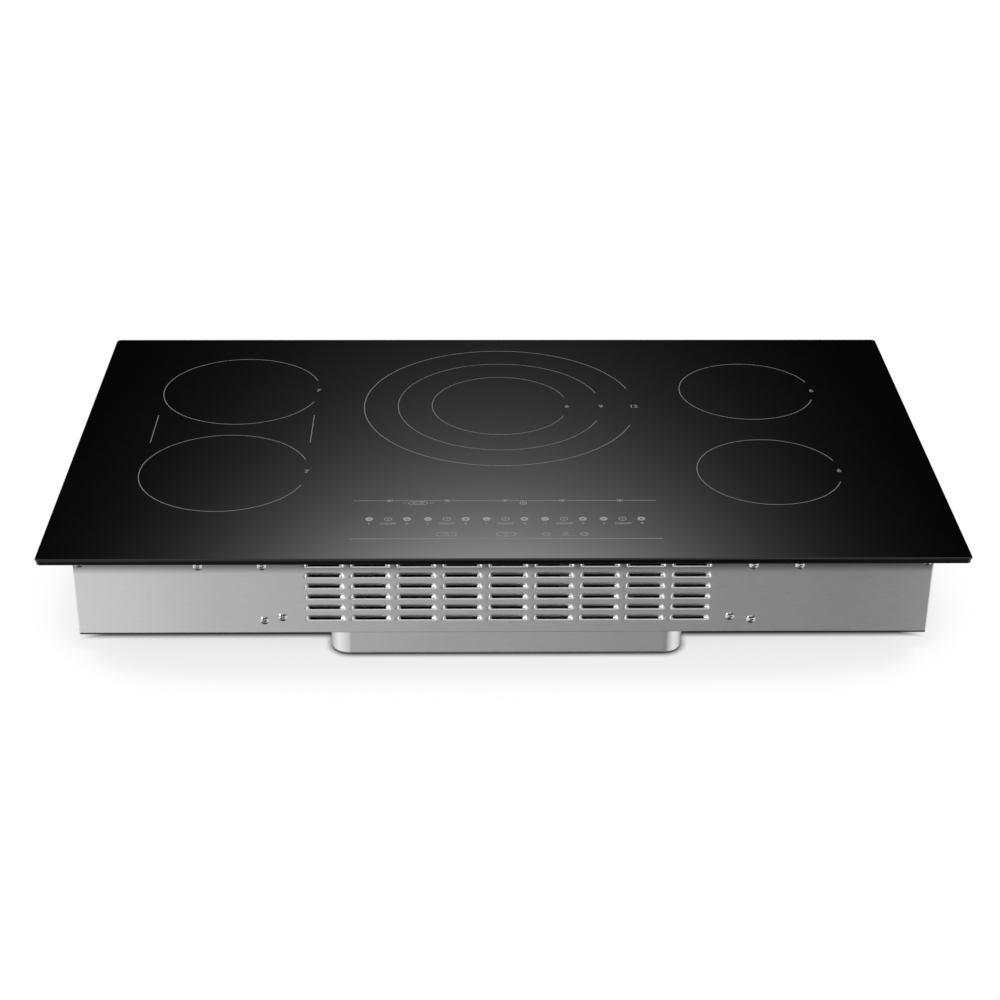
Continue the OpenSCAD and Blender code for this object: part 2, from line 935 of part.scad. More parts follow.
// Plan of the bridge element, narrowed by the round elements beside it
module bridge_plan(inset) {
    difference() {
        square([bridge_w - 2 * inset, bridge_d - 2 * inset], center = true);
        for (y = [left_rear_y, front_zone_y])
            translate([0, y - bridge_y])
                circle(left_dish_d / 2 + bridge_gap + inset, $fn = 96);
    }
}

module dish_bridge() {
    color("#b4b6b8")
        translate([left_zone_x, bridge_y, 0])
            difference() {
                translate([0, 0, z_dish])
                    linear_extrude(dish_h)
                        bridge_plan(0);
                translate([0, 0, z_dish + dish_t])
                    linear_extrude(dish_h)
                        bridge_plan(dish_t);
                rod_hole(bridge_w);
            }
}

module insulation_bridge() {
    inset = dish_t + insulation_gap;
    color("#e4e0d6")
        translate([left_zone_x, bridge_y, 0])
            difference() {
                translate([0, 0, z_dish + dish_t])
                    linear_extrude(z_glass - z_dish - dish_t)
                        bridge_plan(inset);
                translate([0, 0, z_ribbon])
                    linear_extrude(dish_h)
                        bridge_plan(inset + bridge_wall);
                rod_hole(bridge_w);
            }
}

// Two straight runs joined at one end
module ribbon_bridge() {
    half = bridge_w / 2 - dish_t - insulation_gap - bridge_wall - 6;
    color("#5a5652")
        translate([left_zone_x, bridge_y, z_ribbon]) {
            for (s = [-1, 1])
                translate([0, s * bridge_ribbon_y, 0])
                    block([-half, -ribbon_t / 2, 0], [half, ribbon_t / 2, ribbon_h]);
            block([half - ribbon_t, -bridge_ribbon_y, 0], [half, bridge_ribbon_y, ribbon_h]);
        }
}

module dish_left_front() {
    round_dish(left_zone_x, front_zone_y, left_dish_d, 0);
}

module dish_left_rear() {
    round_dish(left_zone_x, left_rear_y, left_dish_d, 0);
}

module dish_centre() {
    round_dish(0, centre_zone_y, centre_dish_d, -90);
}

module dish_right_front() {
    round_dish(right_zone_x, front_zone_y, right_dish_d, 180);
}

module dish_right_rear() {
    round_dish(right_zone_x, right_rear_y, right_dish_d, 180);
}

module insulation_left_front() {
    round_insulation(left_zone_x, front_zone_y, left_dish_d, 0);
}

module insulation_left_rear() {
    round_insulation(left_zone_x, left_rear_y, left_dish_d, 0);
}

module insulation_centre() {
    round_insulation(0, centre_zone_y, centre_dish_d, -90, divider_r);
}

module insulation_right_front() {
    round_insulation(right_zone_x, front_zone_y, right_dish_d, 180);
}

module insulation_right_rear() {
    round_insulation(right_zone_x, right_rear_y, right_dish_d, 180);
}

module ribbon_left_front() {
    round_ribbon(left_zone_x, front_zone_y, left_dish_d, 0);
}

module ribbon_left_rear() {
    round_ribbon(left_zone_x, left_rear_y, left_dish_d, 0);
}

// The middle element has three circuits between its divider walls
module ribbon_centre() {
    color("#5a5652")
        translate([0, centre_zone_y, 0])
            rotate([0, 0, -90]) {
                ribbon_circuit(ribbon_r0, divider_r[0] - divider_out);
                ribbon_circuit(divider_r[0] + divider_in, divider_r[1] - divider_out);
                ribbon_circuit(divider_r[1] + divider_in, centre_dish_d / 2 - insulation_wall - 5);
            }
}

module ribbon_right_front() {
    round_ribbon(right_zone_x, front_zone_y, right_dish_d, 180);
}

module ribbon_right_rear() {
    round_ribbon(right_zone_x, right_rear_y, right_dish_d, 180);
}

// Rod across an element with its switch block outside the dish
module limiter(x, y, half, turn) {
    translate([x, y, 0])
        rotate([0, 0, turn]) {
            translate([-half, 0, z_rod])
                rotate([0, 90, 0])
                    cylinder(h = 2 * half + limiter_off, r = rod_r);
            block([half + limiter_off, -limiter_w / 2, z_limiter],
                [half + limiter_off + limiter_l, limiter_w / 2, z_limiter + limiter_h]);
        }
}

module limiters() {
    color("#ece8dc") {
        limiter(left_zone_x, front_zone_y, left_dish_d / 2, 0);
        limiter(left_zone_x, left_rear_y, left_dish_d / 2, 0);
        limiter(left_zone_x, bridge_y, bridge_w / 2, 180);
        limiter(0, centre_zone_y, centre_dish_d / 2, -90);
        limiter(right_zone_x, front_zone_y, right_dish_d / 2, 180);
        limiter(right_zone_x, right_rear_y, right_dish_d / 2, 180);
    }
}

// Open plastic box that holds the touch board up to the glass
module touch_carrier() {
    low = [keys_x - carrier_w / 2, carrier_front];
    high = [keys_x + carrier_w / 2, carrier_back];
    color("#e8e8e4")
        difference() {
            block([low[0], low[1], z_carrier], [high[0], high[1], z_touch]);
            block([low[0] + carrier_wall, low[1] + carrier_wall, z_carrier + carrier_wall],
                [high[0] - carrier_wall, high[1] - carrier_wall, z_touch + cut]);
        }
}

module touch_board() {
    color("#1f5a34")
        block([keys_x - carrier_w / 2, carrier_front, z_touch],
            [keys_x + carrier_w / 2, carrier_back + touch_overhang, z_touch + board_t]);
}

// Conductive pads between the board and the glass, one under each key
module key_pads() {
    color("#303030")
        translate([keys_x, keys_y, z_touch + board_t]) {
            for (k = [-2:2], s = [-1, 0, 1])
                translate([k * keys_pitch + s * keys_side, 0, 0])
                    key_pad();
            for (p = concat([bridge_key, ring_key], lower_keys))
                translate([p[0], p[1], 0])
                    key_pad();
        }
}

module key_pad() {
    cylinder(h = z_glass - z_touch - board_t, d = key_pad_d, $fn = 32);
}

module at_standoffs() {
    for (sx = [-1, 1], sy = [-1, 1])
        translate([power_x + sx * (power_w / 2 - 6), power_y + sy * (power_d / 2 - 6), sheet_t])
            children();
}

module power_board() {
    color("#1f5a34")
        block([power_x - power_w / 2, power_y - power_d / 2, z_power],
            [power_x + power_w / 2, power_y + power_d / 2, z_power_top]);
}

module board_standoffs() {
    color("#e8e8e4")
        at_standoffs()
            cylinder(h = standoff_h, r = standoff_r);
}

module relays() {
    color("#202428")
        for (k = [0:relay_count - 1])
            translate([relay_x + k * relay_pitch, relay_y, z_power_top])
                block([-relay_size[0] / 2, -relay_size[1] / 2, 0],
                    [relay_size[0] / 2, relay_size[1] / 2, relay_size[2]]);
}

// Laminated core with a winding that shows above and below it
module transformer() {
    s = transformer_size;
    color("#7a5a3a")
        translate([transformer_x, transformer_y, z_power_top]) {
            block([-s[0] / 2, -s[1] / 4, 0], [s[0] / 2, s[1] / 4, s[2]]);
            block([-s[0] / 4, -s[1] / 2, 4], [s[0] / 4, s[1] / 2, s[2] - 4]);
        }
}

// Places a fan piece on the fan axis, with z running from front to back
module on_fan_axis(y) {
    translate([fan_x, y, z_fan])
        rotate([-90, 0, 0])
            children();
}

module at_fan_holes() {
    for (sx = [-1, 1], sz = [-1, 1])
        translate([sx * fan_hole, sz * fan_hole, 0])
            children();
}

// Foot on the tray floor with an upright plate behind the fan
module fan_bracket() {
    color("#a0a3a5") {
        block([fan_x - fan_side / 2, fan_back, sheet_t],
            [fan_x + fan_side / 2, fan_back + bracket_foot_d, 2 * sheet_t]);
        difference() {
            block([fan_x - fan_side / 2, fan_back, 2 * sheet_t],
                [fan_x + fan_side / 2, fan_back + sheet_t, z_fan + fan_side / 2]);
            on_fan_axis(fan_back - cut) {
                cylinder(h = sheet_t + 2 * cut, r = fan_bore_r, $fn = 64);
                at_fan_holes()
                    cylinder(h = sheet_t + 2 * cut, r = screw_r + screw_gap);
            }
        }
    }
}

// Gaps between the hub and the bore, seen along the fan axis
module fan_windows() {
    difference() {
        circle(fan_bore_r, $fn = 64);
        circle(fan_hub_r, $fn = 64);
        for (a = [0, 120, 240])
            rotate([0, 0, a])
                translate([-2, 0])
                    square([4, fan_side]);
    }
}

module fan_housing() {
    hub = fan_depth - fan_spider_t;
    color("#181818")
        on_fan_axis(fan_front)
            difference() {
                translate([-fan_side / 2, -fan_side / 2, 0])
                    cube([fan_side, fan_side, fan_depth]);
                translate([0, 0, -cut])
                    cylinder(h = hub + cut, r = fan_bore_r, $fn = 64);
                translate([0, 0, hub - cut])
                    linear_extrude(fan_spider_t + 2 * cut)
                        fan_windows();
                translate([0, 0, -cut])
                    at_fan_holes()
                        cylinder(h = fan_depth + 2 * cut, r = screw_r + screw_gap);
            }
}

// Wound core round the bearing tube, fixed to the housing's hub
module fan_motor() {
    hub = fan_depth - fan_spider_t;
    color("#b06a34")
        on_fan_axis(fan_front)
            difference() {
                union() {
                    translate([0, 0, hub - fan_bearing_l])
                        cylinder(h = fan_bearing_l, r = fan_bearing_r);
                    translate([0, 0, hub - fan_bearing_l + 3])
                        cylinder(h = fan_bearing_l - 4, r = fan_hub_r - fan_hub_wall - fan_run_gap);
                }
                translate([0, 0, hub - fan_bearing_l - cut])
                    cylinder(h = fan_bearing_l + 2 * cut, r = fan_shaft_d / 2 + fan_fit);
            }
}

// Hub cup, shaft and pitched blades
module fan_rotor() {
    hub_back = fan_depth - fan_spider_t - fan_run_gap;
    hub_front = hub_back - fan_rotor_l;
    color("#2a2c30")
        on_fan_axis(fan_front) {
            difference() {
                translate([0, 0, hub_front])
                    cylinder(h = fan_rotor_l, r = fan_hub_r, $fn = 64);
                translate([0, 0, hub_front + fan_hub_wall])
                    cylinder(h = fan_rotor_l, r = fan_hub_r - fan_hub_wall, $fn = 64);
            }
            translate([0, 0, hub_front + 1])
                cylinder(h = fan_rotor_l - 1, d = fan_shaft_d);
            intersection() {
                difference() {
                    translate([0, 0, hub_front])
                        cylinder(h = fan_rotor_l, d = fan_blade_d, $fn = 64);
                    translate([0, 0, hub_front - cut])
                        cylinder(h = fan_rotor_l + 2 * cut, r = fan_hub_r - fan_hub_wall / 2, $fn = 64);
                }
                for (k = [0:fan_blades - 1])
                    rotate([0, 0, k * 360 / fan_blades])
                        translate([0, fan_hub_r - 1, hub_front + fan_rotor_l / 2])
                            rotate([0, 40, 0])
                                translate([-0.75, 0, -14])
                                    cube([1.5, fan_blade_d / 2, 28]);
            }
        }
}

module fan_screws() {
    color("#c8cacc")
        on_fan_axis(fan_front)
            at_fan_holes()
                rotate([180, 0, 0])
                    pan_screw(fan_depth + sheet_t + 3);
}

// Three-way block with barriers between its clamps
module terminal_block() {
    s = terminal_size;
    color("#d8d2c0")
        translate([terminal_x, terminal_y, z_in])
            difference() {
                block([-s[0] / 2, -s[1] / 2, 0], [s[0] / 2, s[1] / 2, s[2]]);
                for (k = [-1, 0, 1], sy = [-1, 1])
                    translate([k * 21, sy * 9, s[2]])
                        block([-7, -5.1, -8], [7, 5.1, cut]);
            }
}

// Sheet cover over the terminals, open below and behind
module terminal_cover() {
    s = cover_size;
    low = [terminal_x - s[0] / 2, in_back - sheet_t - s[1], z_in];
    high = [terminal_x + s[0] / 2, in_back - sheet_t, z_in + s[2]];
    color("#a9acae")
        difference() {
            block(low, high);
            block([low[0] + sheet_t, low[1] + sheet_t, low[2] - cut],
                [high[0] - sheet_t, high[1] + cut, high[2] - sheet_t]);
            translate([supply_x, low[1] - cut, supply_z])
                rotate([-90, 0, 0])
                    cylinder(h = sheet_t + 2 * cut, r = supply_hole_r);
        }
}

// Round tube along straight runs, with a ball at each bend
module tube_path(points, r) {
    for (i = [0:len(points) - 2]) {
        step = points[i + 1] - points[i];
        span = norm(step);
        translate(points[i])
            rotate([0, acos(step[2] / span), atan2(step[1], step[0])])
                cylinder(h = span, r = r, $fn = 16);
        if (i > 0)
            translate(points[i])
                sphere(r, $fn = 16);
    }
}

// Bundles from the power board to the switch block of each element
module element_wiring() {
    left_x = left_zone_x + left_dish_d / 2 + limiter_off + limiter_l / 2;
    right_x = right_zone_x - right_dish_d / 2 - limiter_off - limiter_l / 2;
    bridge_x = left_zone_x - bridge_w / 2 - limiter_off - limiter_l / 2;
    middle_y = centre_zone_y - centre_dish_d / 2 - limiter_off - limiter_l / 2;
    riser = [wire_x, wire_y, z_wire];
    color("#c8b070") {
        tube_path([[wire_x, wire_y, z_power_top], riser, [left_x, wire_y, z_wire],
            [left_x, front_zone_y, z_wire], [left_x, front_zone_y, z_limiter]], wire_r);
        tube_path([riser, [left_x, wire_y, z_wire], [left_x, left_rear_y, z_wire],
            [left_x, left_rear_y, z_limiter]], wire_r);
        tube_path([[left_x, bridge_y, z_wire], [bridge_x, bridge_y, z_wire],
            [bridge_x, bridge_y, z_limiter]], wire_r);
        tube_path([[0, wire_y, z_wire], [0, middle_y, z_wire], [0, middle_y, z_limiter]], wire_r);
        tube_path([riser, [right_x, wire_y, z_wire], [right_x, front_zone_y, z_wire],
            [right_x, front_zone_y, z_limiter]], wire_r);
        tube_path([riser, [right_x, wire_y, z_wire], [right_x, right_rear_y, z_wire],
            [right_x, right_rear_y, z_limiter]], wire_r);
    }
}

// Bundle from the terminals to the power board
module supply_wiring() {
    side_x = power_x + power_w / 2 - supply_in;
    turn_y = in_back - sheet_t - cover_size[1] - supply_turn;
    down_y = power_y + power_d / 2 - supply_end;
    color("#b04030")
        tube_path([[supply_x, terminal_y - terminal_size[1] / 2, supply_z],
            [supply_x, turn_y, supply_z], [side_x, turn_y, supply_z],
            [side_x, down_y, supply_z], [side_x, down_y, z_power_top]], supply_r);
}

// Flat cable from the touch board down to the power board
module control_ribbon() {
    half = ribbon_cable[0] / 2;
    t = ribbon_cable[1];
    back = carrier_back + 1;
    board_front = power_y - power_d / 2 + cable_end;
    low = z_power_top + cable_rise;
    color("#c0c4c8")
        translate([ribbon_cable_x, 0, 0]) {
            block([-half, back, low], [half, back + t, z_touch]);
            block([-half, back, low], [half, board_front + t, low + t]);
            block([-half, board_front, z_power_top], [half, board_front + t, low + t]);
        }
}

// Angle bracket on the side of the box, with the nut thread for the clamp screw
module clamp_bracket(side) {
    color("#a9acae")
        difference() {
            union() {
                translate([side * (wall_half + clamp_plate_t / 2), 0, 0])
                    block([-clamp_plate_t / 2, -clamp_half_w, z_clamp_arm],
                        [clamp_plate_t / 2, clamp_half_w, z_clamp_arm + clamp_plate_h]);
                translate([side * (wall_half + clamp_arm_l / 2), 0, 0])
                    block([-clamp_arm_l / 2, -clamp_half_w, z_clamp_arm],
                        [clamp_arm_l / 2, clamp_half_w, z_clamp_arm + clamp_arm_t]);
            }
            translate([side * clamp_x, 0, z_clamp_arm - cut])
                cylinder(h = clamp_arm_t + 2 * cut, r = clamp_thread_d / 2 + clamp_fit);
            at_clamp_plate_screws()
                screw_hole(10);
        }
}

module clamp_screw(side) {
    color("#c8cacc")
        translate([side * clamp_x, 0, z_clamp_tip - clamp_screw_l]) {
            cylinder(h = clamp_screw_l, d = clamp_thread_d);
            translate([0, 0, -clamp_head_h])
                cylinder(h = clamp_head_h, r = clamp_head_r, $fn = 6);
        }
}

// Plastic cap on the tip of the clamp screw
module clamp_foot(side) {
    color("#202020")
        translate([side * clamp_x, 0, z_clamp_top - clamp_foot_h])
            difference() {
                cylinder(h = clamp_foot_h, r = clamp_foot_r);
                translate([0, 0, -cut])
                    cylinder(h = clamp_socket + cut, r = clamp_thread_d / 2 + clamp_fit);
            }
}

module clamp_bracket_left() {
    clamp_bracket(-1);
}

module clamp_bracket_right() {
    clamp_bracket(1);
}

module clamp_screw_left() {
    clamp_screw(-1);
}

module clamp_screw_right() {
    clamp_screw(1);
}

module clamp_foot_left() {
    clamp_foot(-1);
}

module clamp_foot_right() {
    clamp_foot(1);
}

glass_top();
perimeter_seal();
glass_adhesive();
glass_frame();
front_panel();
box_pan();
rear_panel();
front_screws();
case_screws();
duct_wall_left();
duct_wall_right();
carrier_plate();
control_tray();
element_rails();
bridge_straps();
element_springs();
dish_left_front();
dish_left_rear();
dish_bridge();
dish_centre();
dish_right_front();
dish_right_rear();
insulation_left_front();
insulation_left_rear();
insulation_bridge();
insulation_centre();
insulation_right_front();
insulation_right_rear();
ribbon_left_front();
ribbon_left_rear();
ribbon_bridge();
ribbon_centre();
ribbon_right_front();
ribbon_right_rear();
limiters();
touch_carrier();
touch_board();
key_pads();
power_board();
board_standoffs();
relays();
transformer();
fan_bracket();
fan_housing();
fan_motor();
fan_rotor();
fan_screws();
terminal_block();
terminal_cover();
element_wiring();
supply_wiring();
control_ribbon();
clamp_bracket_left();
clamp_bracket_right();
clamp_screw_left();
clamp_screw_right();
clamp_foot_left();
clamp_foot_right();
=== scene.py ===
import json
import math

import bpy
import numpy as np
from mathutils import Matrix, Vector


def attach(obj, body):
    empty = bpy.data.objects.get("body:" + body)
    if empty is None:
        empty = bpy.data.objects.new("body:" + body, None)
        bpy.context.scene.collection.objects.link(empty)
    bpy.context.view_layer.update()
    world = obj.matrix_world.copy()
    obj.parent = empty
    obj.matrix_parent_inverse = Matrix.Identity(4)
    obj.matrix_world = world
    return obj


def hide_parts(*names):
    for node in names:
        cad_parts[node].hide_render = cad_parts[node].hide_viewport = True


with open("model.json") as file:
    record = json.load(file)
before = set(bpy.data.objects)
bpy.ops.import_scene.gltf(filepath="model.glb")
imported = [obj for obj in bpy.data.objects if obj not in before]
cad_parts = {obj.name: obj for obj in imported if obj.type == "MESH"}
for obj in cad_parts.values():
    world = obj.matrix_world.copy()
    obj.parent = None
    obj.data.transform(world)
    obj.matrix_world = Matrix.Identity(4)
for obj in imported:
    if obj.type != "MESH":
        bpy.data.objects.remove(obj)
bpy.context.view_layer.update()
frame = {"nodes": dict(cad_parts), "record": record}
cadNodes = frame["nodes"]
mm = 0.001  # shapes below are worked out in millimetres


# Quads of a grid of points: each point is joined to the next one in its row and to the same two in
# the row after
def gridFaces(rows, cols, closeCols=False):
    wide = cols if closeCols else cols - 1
    i, j = np.meshgrid(np.arange(rows - 1), np.arange(wide), indexing="ij")
    here, beside = i * cols + j, i * cols + (j + 1) % cols
    return np.stack([here, beside, beside + cols, here + cols], -1).reshape(-1, 4)


def joined(parts):
    points = [np.asarray(p, float) for p, f in parts]
    starts = np.cumsum([0] + [len(p) for p in points])
    faces = [[int(v) + int(start) for v in face] for (p, f), start in zip(parts, starts)
             for face in f]
    return np.concatenate(points), faces


def addPiece(name, points, faces, material, slotName, body="chassis", sharp=35):
    mesh = bpy.data.meshes.new(name)
    faces = faces.tolist() if isinstance(faces, np.ndarray) else faces
    mesh.from_pydata((np.asarray(points, float) * mm).tolist(), [], faces)
    mesh.validate()
    mesh.shade_smooth()
    mesh.set_sharp_from_angle(angle=math.radians(sharp))
    mesh.materials.append(material)
    piece = bpy.data.objects.new(name, mesh)
    bpy.context.scene.collection.objects.link(piece)
    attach(piece, body)
    return piece


# A rounded rectangle about the origin, anticlockwise: the centre of each corner arc repeated, and
# the outward normals
def roundedLoop(width, depth, radius, steps=8):
    quarter = np.linspace(0, np.pi / 2, steps)
    turn = (np.arange(4)[:, None] * np.pi / 2 + quarter).ravel()
    signX = np.repeat([1, -1, -1, 1], steps)
    signY = np.repeat([1, 1, -1, -1], steps)
    corner = np.stack([signX * (width / 2 - radius), signY * (depth / 2 - radius)], -1)
    return corner, np.stack([np.cos(turn), np.sin(turn)], -1)


# Short ways to build a node tree. feed gives a socket a value or another socket, calc does a sum,
# ease carries a value from the range low to the range high, mix and choose mix two numbers or
# shaders, multiply multiplies two colours, and ramp turns a value into a colour. seen is 1 for the
# camera and for what it sees through glass.
def nodeTools(tree):
    add = tree.nodes.new

    def feed(socket, value):
        if isinstance(value, bpy.types.NodeSocket):
            tree.links.new(value, socket)
        else:
            socket.default_value = value

    def calc(operation, *values):
        node = add("ShaderNodeMath")
        node.operation = operation
        for socket, value in zip(node.inputs, values):
            feed(socket, value)
        return node.outputs[0]

    def ease(value, low, high, kind="SMOOTHSTEP"):
        node = add("ShaderNodeMapRange")
        node.interpolation_type = kind
        for name, number in zip(("From Min", "From Max", "To Min", "To Max"), (*low, *high)):
            feed(node.inputs[name], number)
        feed(node.inputs["Value"], value)
        return node.outputs["Result"]

    def mix(share, first, second):
        node = add("ShaderNodeMix")
        for name, value in (("Factor", share), ("A", first), ("B", second)):
            feed(node.inputs[name], value)
        return node.outputs["Result"]

    def choose(share, first, second):
        node = add("ShaderNodeMixShader")
        for socket, value in zip(node.inputs, (share, first, second)):
            feed(socket, value)
        return node.outputs[0]

    def multiply(first, second):
        node = add("ShaderNodeMix")
        node.data_type = "RGBA"
        node.blend_type = "MULTIPLY"
        for name, value in (("Factor", 1), ("A", first), ("B", second)):
            feed(node.inputs[name], value)
        return node.outputs["Result"]

    def ramp(value, stops):
        node = add("ShaderNodeValToRGB")
        elements = node.color_ramp.elements
        for position, colour in stops[1:-1]:
            elements.new(position)
        for element, (position, colour) in zip(elements, stops):
            element.position = position
            element.color = (*colour, 1)
        feed(node.inputs["Fac"], value)
        return node.outputs["Color"]

    def seen():
        path = add("ShaderNodeLightPath")
        return calc("MAXIMUM", path.outputs["Is Camera Ray"], path.outputs["Is Transmission Ray"])

    return dict(add=add, feed=feed, calc=calc, ease=ease, mix=mix, choose=choose,
                multiply=multiply, ramp=ramp, seen=seen)


# Finishes: colours between low and high, the two ends of roughness, how fine the grain is along X,
# Y and Z per metre, how high it stands in millimetres, and how fine the cloudy changes are per
# metre. Some are metal, have a coat, shine less than usual, or have another pattern than grain. The
# front sheet's steel has painted shade: it goes down to shade between two heights in metres, under
# the overhanging glass. It also has a painted highlight where pressed and a painted shadow at the
# hem.
finishes = {
    "glass": dict(low=(.0008, .0008, .0009), high=(.0015, .0015, .0016), rough=(.02, .04),
                  grain=(60, 60, 60), cloud=9),
    "seal": dict(low=(.004, .004, .004), high=(.009, .009, .009), rough=(.6, .75),
                 grain=(900, 900, 900), height=.06, cloud=60, shine=.12),
    "silicone": dict(low=(.030, .030, .032), high=(.045, .045, .046), rough=(.35, .5),
                     grain=(300, 300, 300), height=.1, cloud=40),
    # The front steel's painted light: painted shade under the glass, a painted highlight where
    # pressed, a painted shadow at the hem
    "brushed_steel": dict(low=(.535, .535, .535), high=(.605, .605, .605), rough=(.27, .34),
                          metal=.92, grain=(75, 1500, 1500), height=.006, cloud=6,
                          shadeUp=(.094, .1055), shade=.36, paintedRegions=dict(pressedHighlight=1.5, hem=.12)),
    "plated_steel": dict(low=(.42, .43, .44), high=(.56, .57, .58), rough=(.34, .48), metal=1,
                         grain=(110, 110, 110), height=.01, cloud=14, pattern="cells"),
    "screw_steel": dict(low=(.36, .36, .37), high=(.47, .47, .47), rough=(.06, .10), metal=1,
                        grain=(500, 500, 500), height=.01, cloud=80),
    "spring_steel": dict(low=(.34, .35, .37), high=(.48, .48, .49), rough=(.25, .4), metal=1,
                         grain=(60, 900, 900), height=.01, cloud=40),
    "dish_steel": dict(low=(.50, .50, .49), high=(.62, .62, .61), rough=(.4, .55), metal=1,
                       grain=(250, 250, 250), height=.02, cloud=25),
    "insulation": dict(low=(.60, .57, .50), high=(.80, .78, .72), rough=(.9, 1),
                       grain=(420, 420, 180), height=.5, cloud=50),
    "heater_alloy": dict(low=(.10, .085, .07), high=(.20, .17, .14), rough=(.5, .7), metal=.6,
                         grain=(300, 300, 60), height=.05, cloud=60),
    "limiter_ceramic": dict(low=(.74, .71, .64), high=(.84, .81, .75), rough=(.35, .5),
                            grain=(700, 700, 700), height=.03, cloud=60),
    "white_plastic": dict(low=(.72, .72, .70), high=(.78, .78, .76), rough=(.4, .5),
                          grain=(1100, 1100, 1100), height=.02, cloud=20),
    "black_plastic": dict(low=(.014, .014, .015), high=(.024, .024, .025), rough=(.35, .5),
                          grain=(1200, 1200, 1200), height=.04, cloud=40),
    "circuit_board": dict(low=(.012, .075, .028), high=(.03, .16, .06), rough=(.25, .4),
                          grain=(260, 260, 30), height=.05, cloud=30, coat=.3, pattern="traces"),
    "pad_foam": dict(low=(.020, .020, .021), high=(.045, .045, .046), rough=(.85, 1),
                     grain=(1500, 1500, 1500), height=.15, cloud=90),
    "transformer_core": dict(low=(.10, .10, .11), high=(.30, .30, .31), rough=(.35, .6), metal=.8,
                             grain=(4, 4, 900), height=.05, cloud=60, pattern="layers"),
    "motor_winding": dict(low=(.35, .12, .04), high=(.72, .32, .14), rough=(.2, .4), metal=.9,
                          grain=(900, 40, 900), height=.1, cloud=90, coat=.4),
    "terminal_plastic": dict(low=(.56, .50, .36), high=(.66, .60, .46), rough=(.4, .55),
                             grain=(700, 700, 700), height=.04, cloud=40),
    "wire_sleeve": dict(low=(.50, .40, .20), high=(.68, .56, .32), rough=(.5, .7),
                        grain=(600, 600, 600), height=.12, cloud=120),
    "supply_sleeve": dict(low=(.36, .05, .035), high=(.50, .09, .06), rough=(.35, .5),
                          grain=(500, 500, 500), height=.05, cloud=90),
    "flat_cable": dict(low=(.45, .46, .48), high=(.66, .67, .68), rough=(.35, .5),
                       grain=(780, 5, 5), height=.12, cloud=30, pattern="layers"),
    "printGrey": dict(low=(.180, .194, .190), high=(.222, .236, .232), rough=(.3, .42),
                      grain=(1800, 1800, 1800), cloud=150),
    "printKeys": dict(low=(.235, .250, .245), high=(.285, .300, .295), rough=(.3, .42),
                      grain=(1800, 1800, 1800), cloud=150),
    "printPale": dict(low=(.30, .34, .335), high=(.37, .41, .405), rough=(.3, .42),
                      grain=(1800, 1800, 1800), cloud=150),
}

# Shared by the finishes: the node of each pattern, how detailed it is, the part of its range that
# runs from low to high, the cloudy pattern's share in the colour, and the width and the tones of a
# circuit board's traces
patternLook = dict(nodes=dict(grain="ShaderNodeTexNoise", layers="ShaderNodeTexWave",
                              cells="ShaderNodeTexVoronoi", traces="ShaderNodeTexBrick"),
                   fineDetail=4, cloudDetail=3, spread=(.25, .75), cloudShare=.3, traceWidth=.12,
                   traceTones=dict(Color1=.2, Color2=.4, Mortar=1))


# The value of a finish's fine pattern at a place
def finePattern(kind, grain, place, tools):
    add, feed = tools["add"], tools["feed"]
    node, scaled = add(patternLook["nodes"][kind]), add("ShaderNodeMapping")
    feed(scaled.inputs["Scale"], grain)
    feed(scaled.inputs["Vector"], place)
    feed(node.inputs["Vector"], scaled.outputs["Vector"])
    feed(node.inputs["Scale"], 1)
    if kind == "grain":
        feed(node.inputs["Detail"], patternLook["fineDetail"])
    if kind == "layers":
        node.bands_direction = "DIAGONAL"
    if kind in ("grain", "layers"):
        return node.outputs["Fac"]
    if kind == "traces":
        feed(node.inputs["Mortar Size"], patternLook["traceWidth"])
        for name, tone in patternLook["traceTones"].items():
            feed(node.inputs[name], (tone, tone, tone, 1))
    grey = add("ShaderNodeRGBToBW")
    feed(grey.inputs["Color"], node.outputs["Color"])
    return grey.outputs["Val"]


# Painted light on the front sheet at a place: painted shade under the overhanging glass, a painted
# highlight where pressed and a painted shadow at the hem. Its regions are attributes of its mesh,
# which other pieces of this steel don't have.
def paintedSheetLight(look, place, tools):
    add, feed = tools["add"], tools["feed"]
    split = add("ShaderNodeSeparateXYZ")
    feed(split.inputs[0], place)
    level = tools["ease"](split.outputs["Z"], look["shadeUp"], (1, look["shade"]))
    for region, tone in look["paintedRegions"].items():
        where = add("ShaderNodeAttribute")
        where.attribute_name = region
        level = tools["mix"](where.outputs["Fac"], level, tone)
    return level


# A fine pattern and a cloudy one lie on object coordinates. Their mix picks the colour, and the
# fine one alone sets the roughness and lifts the surface.
def makeFinish(name):
    look = finishes[name]
    material = bpy.data.materials.new(name)
    material.use_nodes = True
    tools = nodeTools(material.node_tree)
    add, feed = tools["add"], tools["feed"]
    surface = material.node_tree.nodes["Principled BSDF"].inputs
    feed(surface["Metallic"], look.get("metal", 0))
    feed(surface["Coat Weight"], look.get("coat", 0))
    feed(surface["Specular IOR Level"], look.get("shine", .5))
    place = add("ShaderNodeTexCoord").outputs["Object"]
    fine = finePattern(look.get("pattern", "grain"), look["grain"], place, tools)
    cloud = add("ShaderNodeTexNoise")
    feed(cloud.inputs["Vector"], place)
    feed(cloud.inputs["Scale"], look["cloud"])
    feed(cloud.inputs["Detail"], patternLook["cloudDetail"])
    both = tools["mix"](patternLook["cloudShare"], fine, cloud.outputs["Fac"])
    colour = tools["ramp"](both, list(zip(patternLook["spread"], (look["low"], look["high"]))))
    # The front sheet's colour is multiplied by its painted shade, painted highlight and painted
    # shadow.
    if "paintedRegions" in look:
        colour = tools["multiply"](colour, paintedSheetLight(look, place, tools))
    feed(surface["Base Color"], colour)
    feed(surface["Roughness"], tools["ease"](fine, patternLook["spread"], look["rough"], "LINEAR"))
    if "height" in look:
        bump = add("ShaderNodeBump")
        feed(bump.inputs["Distance"], look["height"] * mm)
        feed(bump.inputs["Height"], fine)
        feed(surface["Normal"], bump.outputs["Normal"])
    return material


